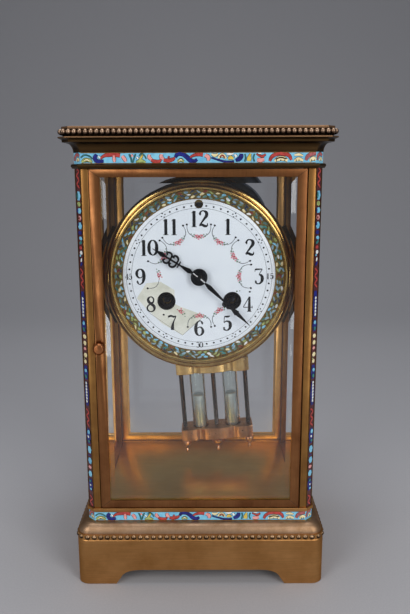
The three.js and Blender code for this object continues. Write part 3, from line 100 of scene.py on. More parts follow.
# Matt, faintly fibrous paper: it gives the eye no highlight, only soft shadows.
paper, shader, place = new_finish("pale studio paper")
fibre = add_node(paper, "TexNoise", {}, {"Vector": place, "Scale": 900, "Detail": 3})
tone = add_node(paper, "ValToRGB", {}, {"Fac": fibre.outputs["Fac"]},
                [(0.3, linear("#A6A6AB")), (0.7, linear("#ACACB0"))])
feed(paper, shader, {"Base Color": tone.outputs["Color"], "Roughness": 0.85, "Specular IOR Level": 0.2})
bpy.ops.object.select_all(action="DESELECT")
bpy.ops.mesh.primitive_plane_add(size=6, location=(0, 0, 0))
sweep = bpy.context.object
sweep.name = "studio_sweep"
bpy.ops.object.mode_set(mode="EDIT")
bpy.ops.mesh.select_all(action="DESELECT")
bpy.ops.object.mode_set(mode="OBJECT")
for edge in sweep.data.edges:
    edge.select = all(sweep.data.vertices[v].co.y > 2 for v in edge.vertices)
bpy.ops.object.mode_set(mode="EDIT")
bpy.ops.mesh.select_mode(type="EDGE")
bpy.ops.mesh.extrude_region_move(TRANSFORM_OT_translate={"value": (0, 0, 4)})
bpy.ops.mesh.select_mode(type="VERT")
bpy.ops.object.mode_set(mode="OBJECT")
for vertex in sweep.data.vertices:
    if vertex.co.y > 2:
        vertex.co.y = 1.6
# Where the sheet turns up behind the clock it bends in a wide curve, so no line shows there.
bpy.ops.object.modifier_add(type="BEVEL")
sweep.modifiers["Bevel"].width = 0.9
sweep.modifiers["Bevel"].segments = 16
bpy.ops.object.modifier_apply(modifier="Bevel")
bpy.ops.object.shade_smooth()
sweep.data.materials.append(paper)

world = bpy.data.worlds.new("studio surround")
bpy.context.scene.world = world
world.use_nodes = True
feed(world, world.node_tree.nodes["Background"], {"Color": linear("#C9CCD2"), "Strength": 0.32})

lamps = [
    ("left_box", (-0.58, -0.78, 0.55), (0.40, 0.85), 4.0, (1.0, 0.97, 0.93)),
    ("right_box", (0.56, -0.80, 0.56), (0.40, 0.85), 5.4, (1.0, 0.98, 0.95)),
    ("top_box", (0.0, 0.05, 1.25), (0.70, 0.70), 5.8, (0.97, 0.98, 1.0)),
    ("low_left_card", (-0.26, -0.43, 0.06), (0.07, 0.10), 0.10, (1.0, 0.98, 0.94)),
    ("low_right_card", (0.25, -0.44, 0.06), (0.07, 0.10), 0.16, (1.0, 0.98, 0.95)),
]
for name, place, size, power, colour in lamps:
    lamp_data = bpy.data.lights.new(name, "AREA")
    lamp_data.shape = "RECTANGLE"
    lamp_data.size, lamp_data.size_y = size
    lamp_data.energy = power
    lamp_data.color = colour
    lamp = bpy.data.objects.new(name, lamp_data)
    lamp.location = place
    lamp.rotation_euler = (Vector((0, 0, 0.14)) - Vector(place)).to_track_quat("-Z", "Y").to_euler()
    bpy.context.scene.collection.objects.link(lamp)
bpy.context.scene.view_settings.view_transform = "Standard"


# Base: a hollow brass casting on four bracket feet, with a rounded block, an ovolo shoulder and a
# narrow neck. Cast, filed, rubbed with grit along its length and gilded, its polish uneven from handling.
def gilt_metal(name, bright, dull, rough, grain_run, cloud_mm=14.0, depth=0.04):
    """Gilded or lacquered brass: soft clouds of two tones, fine rubbed grain and uneven polish.

    The grain's fineness is given along x, y and z; where two are high and one low, it is drawn out along
    the low one. Real grit lines are too fine to show, so they are drawn several times coarser.
    """
    material, shader, place = new_finish(name)
    clouds = add_node(material, "TexNoise", {}, {
        "Vector": place, "Scale": 1000 / cloud_mm, "Detail": 4, "Roughness": 0.6})
    tone = add_node(material, "ValToRGB", {}, {"Fac": clouds.outputs["Fac"]},
                    [(0.32, linear(dull)), (0.68, linear(bright))])
    run = add_node(material, "Mapping", {}, {"Vector": place, "Scale": grain_run})
    grain = add_node(material, "TexNoise", {}, {"Vector": run.outputs["Vector"], "Scale": 1, "Detail": 3})
    shade = add_node(material, "MapRange", {}, {
        "Value": grain.outputs["Fac"], "From Min": 0.3, "From Max": 0.7, "To Min": 0.88, "To Max": 1.06})
    colour = add_node(material, "VectorMath", {"operation": "SCALE"}, {
        0: tone.outputs["Color"], "Scale": shade.outputs["Result"]})
    polish = add_node(material, "MapRange", {}, {
        "Value": clouds.outputs["Fac"], "From Min": 0.3, "From Max": 0.7,
        "To Min": rough + 0.07, "To Max": rough - 0.05})
    lines = add_node(material, "Bump", {}, {
        "Height": grain.outputs["Fac"], "Strength": depth, "Distance": 0.0002})
    # The tint keeps the metal's own colour where it is seen at a grazing angle.
    feed(material, shader, {
        "Base Color": colour.outputs["Vector"], "Roughness": polish.outputs["Result"],
        "Normal": lines.outputs["Normal"], "Metallic": 1.0,
        "Specular Tint": [0.35 + 0.65 * share for share in linear(bright)]})
    return material


def corner_loop(half_x, half_y, z, corner, is_round=True, steps=8):
    """Points round a rectangle whose corners are rounded, or cut at 45 degrees, in mm."""
    points = []
    for quarter, (side_x, side_y) in enumerate([(1, 1), (-1, 1), (-1, -1), (1, -1)]):
        centre_x = side_x * (half_x - corner)
        centre_y = side_y * (half_y - corner)
        for step in range(steps + 1):
            share = step / steps
            start = quarter * math.pi / 2
            turn = start + share * math.pi / 2
            if is_round:
                reach = (math.cos(turn), math.sin(turn))
            else:
                first = (math.cos(start), math.sin(start))
                last = (-first[1], first[0])
                reach = tuple(a + (b - a) * share for a, b in zip(first, last))
            points.append((centre_x + corner * reach[0], centre_y + corner * reach[1], z))
    return points


def lofted(name, levels):
    """A moulded block drawn up from its lowest outline by extruding, each level a ring of points in mm."""
    bpy.ops.object.select_all(action="DESELECT")
    bpy.ops.mesh.primitive_circle_add(vertices=len(levels[0]), fill_type="NGON")
    piece = bpy.context.object
    piece.name = name
    for vertex, point in zip(piece.data.vertices, levels[0]):
        vertex.co = Vector(point) * MM
    bpy.ops.object.mode_set(mode="EDIT")
    bpy.ops.mesh.select_all(action="SELECT")
    below = [Vector(point) * MM for point in levels[0]]
    for level in levels[1:]:
        bpy.ops.mesh.extrude_region_move()
        bpy.ops.object.mode_set(mode="OBJECT")
        for vertex in [v for v in piece.data.vertices if v.select]:
            nearest = min(range(len(below)), key=lambda place: (below[place] - vertex.co).length)
            vertex.co = Vector(level[nearest]) * MM
        bpy.ops.object.mode_set(mode="EDIT")
        below = [Vector(point) * MM for point in level]
    bpy.ops.mesh.select_all(action="SELECT")
    bpy.ops.mesh.normals_make_consistent(inside=False)
    bpy.ops.object.mode_set(mode="OBJECT")
    return piece


def take_up(piece):
    """Makes one piece the only one that the next operators work on."""
    bpy.ops.object.select_all(action="DESELECT")
    bpy.context.view_layer.objects.active = piece
    piece.select_set(True)


def cut_away(piece, cutter, operation="DIFFERENCE"):
    """Takes the cutter's shape out of the piece, or keeps only what both share, and removes the cutter."""
    take_up(piece)
    change = piece.modifiers.new("cut", "BOOLEAN")
    change.operation = operation
    change.solver = "EXACT"
    change.object = cutter
    bpy.ops.object.modifier_apply(modifier="cut")
    bpy.data.objects.remove(cutter)


def softened(piece, material, body, angle=32, bevel_mm=0.0):
    """Takes the sharpness off a piece's edges, smooths its round faces, and gives finish and body."""
    take_up(piece)
    if bevel_mm:
        edge = piece.modifiers.new("edge", "BEVEL")
        edge.width = bevel_mm * MM
        edge.segments = 2
        edge.limit_method = "ANGLE"
        edge.angle_limit = math.radians(angle)
        bpy.ops.object.modifier_apply(modifier="edge")
    bpy.ops.object.shade_smooth_by_angle(angle=math.radians(angle))
    piece.data.materials.clear()
    piece.data.materials.append(material)
    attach(piece, body)
    return piece


def bowed(start, middle, end, share):
    """The place at a share of the way along a curve that leaves start and end towards the middle."""
    return start * (1 - share) ** 2 + 2 * middle * share * (1 - share) + end * share ** 2


base_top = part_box("base_casting")[1].z / MM
case_x, case_y = (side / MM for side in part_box("base_enamel_band")[1].xy)
chamfer = 4.4
block_top, bead_top, band_low, band_high = 30.2, 33.8, 39.8, 46.0
block_x, block_y = case_x + 6.7, case_y + 6.7


def base_level(z, proud, corner, is_round=True):
    return corner_loop(case_x + proud, case_y + proud, z, corner, is_round)


base_levels = [base_level(0, 6.4, 6.8), base_level(0.3, 6.7, 7.0), base_level(block_top - 0.4, 6.7, 7.0),
               base_level(block_top, 6.4, 6.8), base_level(block_top + 0.1, 6.6, 7.2),
               base_level(bead_top - 0.1, 6.6, 7.2), base_level(bead_top, 5.9, 7.0)]
for degrees in range(6, 91, 7):
    lean = math.radians(degrees)
    corner = chamfer + 2.6 * math.cos(lean)
    base_levels.append(base_level(bead_top + 5.9 * math.sin(lean), 0.2 + 5.7 * math.cos(lean), corner))
for z, proud in [(band_low, 0.15), (band_low + 0.02, -1.5), (band_high, -1.5), (band_high + 0.02, 0.5),
                 (band_high + 0.25, 0.7), (base_top - 0.25, 0.7), (base_top, 0.45)]:
    base_levels.append(base_level(z, proud, chamfer, False))
base = lofted("base_block", base_levels)
for turn, half in [(0, block_x), (90, block_y)]:
    foot = half - 24.0
    edge_points = [(-foot, -1), (foot, -1), (foot, 0), (foot - 3, 4.3)]
    bend = [(foot - 3, 4.3), (foot - 5, 9.7), (foot - 16, 9.7)]
    for step in range(1, 9):
        edge_points.append(tuple(bowed(*places, step / 8) for places in zip(*bend)))
    edge_points += [(-x, z) for x, z in reversed(edge_points[2:])]
    arch = lofted("arch", [[(x, -90, z) for x, z in edge_points], [(x, 90, z) for x, z in edge_points]])
    arch.data.transform(Matrix.Rotation(math.radians(turn), 4, "Z"))
    cut_away(base, arch)
# The casting is hollow from below, and its top has a shallow pocket for the floor.
hollow = [corner_loop(half_x, half_y, z, 4.0) for half_x, half_y, z in [
    (73.0, 57.8, -1), (73.0, 57.8, 26.2), (64.3, 49.1, 35.2), (64.3, 49.1, 42.7)]]
cut_away(base, lofted("hollow", hollow))
pocket = [corner_loop(61.2, 49.8, z, 0.3, False, 1) for z in (band_high, 50)]
cut_away(base, lofted("pocket", pocket))
# Lengthwise rubbing spreads each lamp into a broad soft sheen; the matted shoulder looks paler and greyer.
base_brass = gilt_metal("gilt cast brass, rubbed lengthwise", "#C8945C", "#A67644", 0.40,
                        (60, 60, 2600), 22.0)
shoulder_brass = gilt_metal("paler matted gilding of the shoulder", "#B6967A", "#967658", 0.42,
                            (2400, 2400, 60), 9.0, 0.1)
softened(base, base_brass, "case", 30)
base.data.materials.append(shoulder_brass)
for face in base.data.polygons:
    height = face.center.z / MM
    if bead_top + 0.2 < height < band_low - 0.1 and face.normal.z > 0.05:
        face.material_index = 1
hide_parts("base_casting")


# Bead rows: strings of half-round beads rolled from brass wire and soldered on, one round the foot of
# the shoulder and a finer one under the top slab. Their lower halves are painted dark as shade, and their
# tops are painted light as a highlight.
def bead_metal(name, bright, dark, low, high):
    """Beads painted lighter towards their tops and darker below, in spots: painted highlight and shade."""
    material, shader, place = new_finish(name)
    height = add_node(material, "SeparateXYZ", {}, {"Vector": place})
    rise = add_node(material, "MapRange", {}, {
        "Value": height.outputs["Z"], "From Min": low * MM, "From Max": high * MM})
    spots = add_node(material, "TexNoise", {}, {"Vector": place, "Scale": 260, "Detail": 3})
    blend = add_node(material, "Math", {"operation": "MULTIPLY"}, {
        0: rise.outputs["Result"], 1: spots.outputs["Fac"]})
    # The colour rises with height: painted highlight on the bead tops, painted shade on their lower halves.
    tone = add_node(material, "ValToRGB", {}, {"Fac": blend.outputs["Value"]},
                    [(0.08, linear(dark)), (0.36, linear(bright))])
    feed(material, shader, {"Base Color": tone.outputs["Color"], "Metallic": 1.0, "Roughness": 0.36})
    return material


def bead_row(name, half_x, half_y, corner, z, radius, tall, pitch, material):
    """Beads set side by side round a rectangle with rounded corners; radius across, tall upward, in mm."""
    path = [Vector(point) for point in corner_loop(half_x, half_y, z, corner)]
    path.append(path[0])
    lengths = [(b - a).length for a, b in zip(path, path[1:])]
    count = round(sum(lengths) / pitch)
    step = sum(lengths) / count
    bpy.ops.object.select_all(action="DESELECT")
    bpy.ops.mesh.primitive_uv_sphere_add(segments=10, ring_count=7, radius=radius * MM)
    first = bpy.context.object
    bpy.ops.transform.resize(value=(1.0, 1.0, tall / radius))
    bpy.ops.object.transform_apply(location=False, rotation=False, scale=True)
    row = []
    gone, side = 0.0, 0
    for number in range(count):
        distance = number * step
        while distance - gone > lengths[side]:
            gone += lengths[side]
            side += 1
        place = path[side].lerp(path[side + 1], (distance - gone) / lengths[side])
        bead = bpy.data.objects.new("bead", first.data.copy())
        bead.data.transform(Matrix.Translation(place * MM))
        bpy.context.scene.collection.objects.link(bead)
        row.append(bead)
    bpy.data.objects.remove(first)
    bpy.ops.object.select_all(action="DESELECT")
    for bead in row:
        bead.select_set(True)
    bpy.context.view_layer.objects.active = row[0]
    bpy.ops.object.join()
    row[0].name = name
    return softened(row[0], material, "case", 60)


base_bead_metal = bead_metal("beaded gilt wire of the base", "#A88868", "#2A1A12", 31.0, 34.4)
base_beads = bead_row("base_beads", case_x + 5.8, case_y + 5.8, corner=7.0, z=32.05, radius=1.96, tall=1.76,
                      pitch=4.1, material=base_bead_metal)


# Enamel bands: brass strips let in round the neck of the base and of the cap, cut away inside thin
# walls and filled with sky-blue enamel and coloured scrolls, then stoned level and gilded on the walls.
def fired_enamel(name, colour, shade, speck_mm=1.6):
    """Opaque fired enamel: two close tones in small clouds, pinholes, and a clear hard gloss."""
    material, shader, place = new_finish(name)
    clouds = add_node(material, "TexNoise", {}, {"Vector": place, "Scale": 1000 / speck_mm, "Detail": 3})
    tone = add_node(material, "ValToRGB", {}, {"Fac": clouds.outputs["Fac"]},
                    [(0.3, linear(shade)), (0.62, linear(colour))])
    dimples = add_node(material, "Bump", {}, {
        "Height": clouds.outputs["Fac"], "Strength": 0.12, "Distance": 0.0001})
    feed(material, shader, {
        "Base Color": tone.outputs["Color"], "Normal": dimples.outputs["Normal"], "Roughness": 0.22})
    return material


enamels = {
    "blue": fired_enamel("sky blue enamel", "#86CBE8", "#69B4DC", 3.0),
    "navy": fired_enamel("navy blue enamel", "#232C86", "#191F5C"),
    "red": fired_enamel("brick red enamel", "#BE4A44", "#973634"),
    "rose": fired_enamel("dusky rose enamel", "#B4686A", "#8C484C", 0.9),
    "pink": fired_enamel("pink enamel", "#EBA8A4", "#D98A88"),
    "cream": fired_enamel("cream enamel", "#F1E6BC", "#DECD94"),
    "yellow": fired_enamel("yellow enamel", "#DEC862", "#BCA344"),
    "leaf": fired_enamel("leaf green enamel", "#AEBB74", "#82965A"),
    "teal": fired_enamel("teal enamel", "#3C8684", "#286466"),
    "white": fired_enamel("white enamel", "#EEF2F0", "#D3DADB"),
    "rust": fired_enamel("rust brown enamel", "#8A4030", "#5F2C24"),
    "wall": gilt_metal("cell walls, their gilding gone brown", "#5A3E26", "#2E1E14", 0.35,
                       (400, 400, 400), 3.0),
    "wire": gilt_metal("gilt cell walls", "#B08A4C", "#6E5230", 0.35, (400, 400, 400), 3.0),
    "line": fired_enamel("dark drawn line", "#2B2620", "#17130F"),
}


# Drawn marks start this many mm above the piece under them, so that no two faces lie in one plane.
stand_off = 0.03


def drawn(name, strokes, lay, body, rise=0.08, palette=None, wall="wall"):
    """Strokes of varying width laid on a surface: each is (colour, [(across, up, half width)...]) in mm.

    A stroke that lies over a wide one has a third entry, how far it is lifted. The wall is the finish of
    the thin edge round each stroke, or None.
    """
    palette = palette or enamels
    order = list(palette)
    curve = bpy.data.curves.new(name, "CURVE")
    curve.dimensions = "3D"
    curve.twist_mode = "Z_UP"
    curve.bevel_depth = 1.0
    curve.bevel_resolution = 0
    curve.resolution_u = 5
    curve.use_fill_caps = True
    for colour in order:
        curve.materials.append(palette[colour])
    for colour, points, *raised in strokes:
        base_lift = sum(raised)
        layers = [(colour, 0.0, base_lift + 0.5)]
        if wall:
            layers.insert(0, (wall, 0.25, base_lift))
        for layer, extra, lift in layers:
            spline = curve.splines.new("BEZIER")
            spline.bezier_points.add(len(points) - 1)
            spline.material_index = order.index(layer)
            for knot, (across, up, width) in zip(spline.bezier_points, points):
                knot.co = (across, up, lift)
                knot.radius = width + extra
                knot.handle_left_type = knot.handle_right_type = "AUTO"
    flat = bpy.data.objects.new(name, curve)
    bpy.context.scene.collection.objects.link(flat)
    take_up(flat)
    bpy.ops.object.convert(target="MESH")
    piece = bpy.context.object
    piece.name = name
    for vertex in piece.data.vertices:
        across, up, out = vertex.co
        vertex.co = lay(across, up, stand_off + out * rise) * MM
    bpy.ops.object.mode_set(mode="EDIT")
    bpy.ops.mesh.select_all(action="SELECT")
    bpy.ops.mesh.remove_doubles(threshold=1e-7)
    bpy.ops.mesh.normals_make_consistent(inside=False)
    bpy.ops.object.mode_set(mode="OBJECT")
    bpy.ops.object.shade_smooth_by_angle(angle=math.radians(50))
    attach(piece, body)
    return piece


band_scrolls = [
    ("leaf", [(-65.2, 0.9, 0.4), (-63.4, 2.0, 1.1), (-61.0, 1.9, 1.0), (-59.2, 0.9, 0.35)]),
    ("cream", [(-63.8, 1.7, 0.3), (-62.2, 2.2, 0.5), (-60.8, 1.6, 0.3)], 1.6),
    ("teal", [(-65.6, 3.4, 0.2), (-63.6, 4.7, 0.26), (-60.8, 4.2, 0.24), (-59.0, 2.6, 0.2)]),
    ("navy", [(-56.6, 5.1, 0.7), (-57.7, 3.4, 1.0), (-56.8, 1.6, 1.05), (-54.8, 1.3, 0.95),
              (-52.8, 1.6, 0.6)]),
    ("white", [(-55.8, 4.2, 0.4), (-54.8, 3.3, 0.55)]),
    ("red", [(-54.6, 2.8, 0.4), (-52.6, 4.3, 0.75), (-50.0, 4.9, 1.0), (-46.6, 5.0, 1.1),
             (-43.6, 4.5, 0.95)]),
    ("pink", [(-47.2, 4.6, 0.5), (-46.9, 2.4, 0.85), (-46.8, 0.9, 0.5)], 0.6),
    ("pink", [(-42.4, 4.3, 0.8), (-41.2, 2.6, 0.95), (-40.5, 1.1, 0.6)]),
    ("teal", [(-38.6, 5.2, 0.22), (-37.5, 2.8, 0.27), (-36.9, 1.0, 0.3), (-35.9, 3.0, 0.22),
              (-34.9, 5.3, 0.2)]),
    ("pink", [(-37.2, 5.2, 0.35), (-36.7, 3.8, 0.6)]),
    ("white", [(-34.4, 3.8, 0.4), (-33.6, 2.8, 0.45)]),
    ("leaf", [(-34.8, 0.9, 0.35), (-32.2, 1.6, 1.0), (-29.4, 0.8, 0.35)]),
    ("yellow", [(-32.8, 2.4, 0.35), (-31.6, 3.7, 0.55), (-31.2, 4.8, 0.25)]),
    ("teal", [(-33.0, 4.2, 0.16), (-31.6, 5.4, 0.22), (-30.2, 4.6, 0.2), (-29.0, 2.6, 0.16)]),
    ("pink", [(-27.2, 4.9, 0.6), (-27.4, 3.6, 0.95), (-26.2, 2.3, 0.8)]),
    ("red", [(-26.4, 2.0, 0.7), (-24.2, 1.2, 0.9), (-21.8, 1.3, 0.8), (-20.8, 2.2, 0.4)]),
    ("pink", [(-20.4, 5.1, 0.7), (-20.7, 3.7, 1.0), (-19.4, 2.5, 0.7)]),
    ("red", [(-19.4, 1.9, 0.7), (-17.0, 1.7, 1.05), (-14.4, 2.3, 0.9), (-13.0, 3.2, 0.4)]),
    ("red", [(-17.0, 3.8, 0.3), (-16.0, 3.2, 0.5)]),
    ("navy", [(-12.8, 3.3, 0.6), (-11.8, 4.9, 0.95), (-9.0, 5.1, 1.0), (-6.6, 3.8, 1.1), (-4.6, 1.9, 1.1),
              (-2.2, 1.3, 0.9), (-0.6, 2.3, 0.6)]),
    ("leaf", [(-11.6, 1.0, 0.4), (-9.8, 1.9, 0.95), (-8.0, 1.0, 0.4)]),
    ("cream", [(-10.6, 1.6, 0.25), (-9.8, 2.1, 0.45), (-9.0, 1.6, 0.25)], 1.6),
    ("red", [(-4.6, 3.4, 0.4), (-2.4, 4.5, 0.7), (0.2, 5.0, 0.9), (2.6, 4.8, 0.95)]),
    ("pink", [(3.8, 4.6, 0.9), (5.6, 3.3, 1.05), (5.5, 1.5, 0.65)]),
    ("navy", [(7.2, 3.2, 0.25), (11.6, 1.8, 0.36), (16.2, 0.9, 0.45), (20.0, 1.1, 0.4)]),
    ("cream", [(7.4, 5.1, 0.4), (9.2, 4.4, 0.85), (11.0, 5.2, 0.4)]),
    ("cream", [(11.0, 3.0, 0.45), (13.3, 4.4, 1.15), (15.6, 2.8, 0.5)]),
    ("red", [(12.0, 3.4, 0.14), (13.4, 4.4, 0.24), (14.8, 3.1, 0.14)], 2.0),
    ("yellow", [(16.6, 2.4, 0.5), (18.0, 3.2, 0.95), (19.6, 2.5, 0.5)]),
    ("white", [(15.8, 5.2, 0.5), (17.8, 5.0, 0.65), (19.6, 5.3, 0.4)]),
    ("white", [(20.4, 4.9, 0.5), (21.2, 3.5, 0.75)]),
    ("navy", [(24.0, 5.3, 0.8), (23.9, 3.9, 1.1), (22.7, 2.4, 1.15), (20.8, 1.6, 0.6)]),
    ("teal", [(25.9, 0.9, 0.2), (26.4, 3.0, 0.24), (26.0, 5.2, 0.2)]),
    ("yellow", [(28.2, 1.2, 1.1), (28.4, 2.8, 1.15), (28.7, 4.2, 0.65), (29.2, 5.3, 0.35)]),
    ("teal", [(31.4, 0.9, 0.2), (30.7, 3.0, 0.24), (31.4, 5.2, 0.2)]),
    ("pink", [(32.8, 1.9, 0.8), (34.8, 1.7, 1.15), (36.8, 2.2, 0.8)]),
    ("red", [(32.4, 5.2, 0.28), (34.0, 4.2, 0.38), (36.0, 3.9, 0.65), (37.6, 5.0, 0.3)]),
    ("white", [(33.6, 5.4, 0.3), (35.2, 5.3, 0.45)]),
    ("red", [(39.8, 1.2, 0.6), (41.1, 3.6, 0.9), (44.4, 5.1, 0.9), (47.6, 5.1, 0.95), (50.6, 4.2, 0.9),
             (52.0, 1.7, 0.5)]),
    ("cream", [(42.6, 1.2, 0.6), (44.8, 2.4, 1.15), (47.4, 2.5, 1.2), (49.8, 1.4, 0.7)]),
    ("line", [(43.2, 2.3, 0.1), (46.0, 3.1, 0.12), (49.2, 2.4, 0.1)], 2.2),
    ("cream", [(53.6, 1.3, 0.5), (55.8, 2.2, 1.05), (58.6, 1.5, 0.55)]),
    ("cream", [(53.6, 4.4, 0.4), (56.0, 4.7, 0.7), (58.4, 4.0, 0.35)]),
    ("rose", [(60.0, 1.6, 0.6), (61.2, 3.8, 1.0), (63.4, 5.0, 0.95), (65.6, 5.2, 0.9)]),
    ("cream", [(62.2, 1.2, 0.6), (64.0, 2.5, 1.1), (65.6, 2.1, 0.9)]),
]
for start in (-62.6, -61.6, 43.6, 46.0, 48.2, 54.6, 56.2, 63.2, 64.8):
    band_scrolls.append(("line", [(start - 0.2, 1.6, 0.1), (start, 1.6, 0.2), (start + 0.2, 1.6, 0.1)], 2.4))
corner_scrolls = [
    ("rose", [(-2.2, 1.6, 0.5), (-1.6, 4.0, 0.85), (0.6, 5.1, 0.8), (2.2, 4.2, 0.6)]),
    ("cream", [(-0.4, 1.5, 0.5), (1.0, 2.5, 0.9), (2.2, 1.6, 0.4)]),
    ("line", [(0.7, 2.2, 0.12), (0.9, 2.2, 0.24), (1.1, 2.2, 0.12)], 2.2),
]
for band, low in [("base_enamel_band", band_low), ("cap_enamel_band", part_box("cap_enamel_band")[0].z / MM)]:
    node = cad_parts[band]
    node.data.materials.clear()
    node.data.materials.append(enamels["blue"])
    for side, quarter in [("front", 0), ("right", 1), ("rear", 2), ("left", 3)]:
        is_end = quarter % 2 == 1
        out_from = case_x if is_end else case_y
        reach = (case_y if is_end else case_x) - chamfer - 0.2
        turn = Matrix.Rotation(quarter * math.pi / 2, 3, "Z")
        corner_turn = turn @ Matrix.Rotation(math.pi / 4, 3, "Z")
        corner_place = turn @ Vector((reach + 0.2 + chamfer / 2, chamfer / 2 - out_from, low))

        def on_band(across, up, out, turn=turn, out_from=out_from, low=low):
            return turn @ Vector((across, -out_from - out, low + up))

        def on_corner(across, up, out, corner_turn=corner_turn, corner_place=corner_place):
            return corner_place + corner_turn @ Vector((across, -out, up))

        chosen = []
        for colour, points, *raised in band_scrolls:
            if all(abs(across) < reach + 0.4 for across, up, width in points):
                points = [(min(max(across, -reach), reach), up, width) for across, up, width in points]
                chosen.append((colour, points, *raised))
        edges = [("wire", [(-reach, up, 0.2), (reach, up, 0.2)]) for up in (0.22, 5.98)]
        for suffix, strokes, lay, wall, slot in [
                ("scrolls_", chosen, on_band, "wall", "blue_enamel"),
                ("corner_", corner_scrolls, on_corner, "wall", "blue_enamel"),
                ("edges_", edges, on_band, None, "gilt_brass")]:
            drawn(band.replace("band", suffix) + side, strokes, lay, "case", wall=wall)


# Floor: a rolled brass sheet lying in a shallow pocket of the base, brushed from left to right, so that it
# mirrors the clock above it only as soft dark and golden patches.
def own_copy(node):
    """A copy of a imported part, its loose triangles merged into whole flat faces, to be worked finer."""
    piece = bpy.data.objects.new("fine_" + node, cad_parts[node].data.copy())
    bpy.context.scene.collection.objects.link(piece)
    take_up(piece)
    bpy.ops.object.mode_set(mode="EDIT")
    bpy.ops.mesh.select_all(action="SELECT")
    bpy.ops.mesh.remove_doubles(threshold=2e-6)
    bpy.ops.mesh.dissolve_limited(angle_limit=math.radians(0.4))
    bpy.ops.mesh.normals_make_consistent(inside=False)
    bpy.ops.object.mode_set(mode="OBJECT")
    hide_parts(node)
    return piece


floor_brass = gilt_metal("brushed brass sheet", "#F2CE7E", "#DCB468", 0.32, (40, 2200, 40), 40.0, 0.06)
floor_sheet = softened(own_copy("floor_plate"), floor_brass, "case", 30, 0.15)

# Posts: four drawn brass bars, filed and gilt, each with its outer corner cut away at 45 degrees for a
# strip of enamel. Their front faces are rubbed yellow, the hollows between bar and strip stay brown.
post_gilt = gilt_metal("rubbed gilding of the posts", "#B4844A", "#8E6438", 0.34,
                       (1800, 1800, 40), 18.0, 0.05)
for side in ("front_left", "front_right", "rear_left", "rear_right"):
    post = softened(own_copy("post_" + side), post_gilt, "case", 30, 0.25)

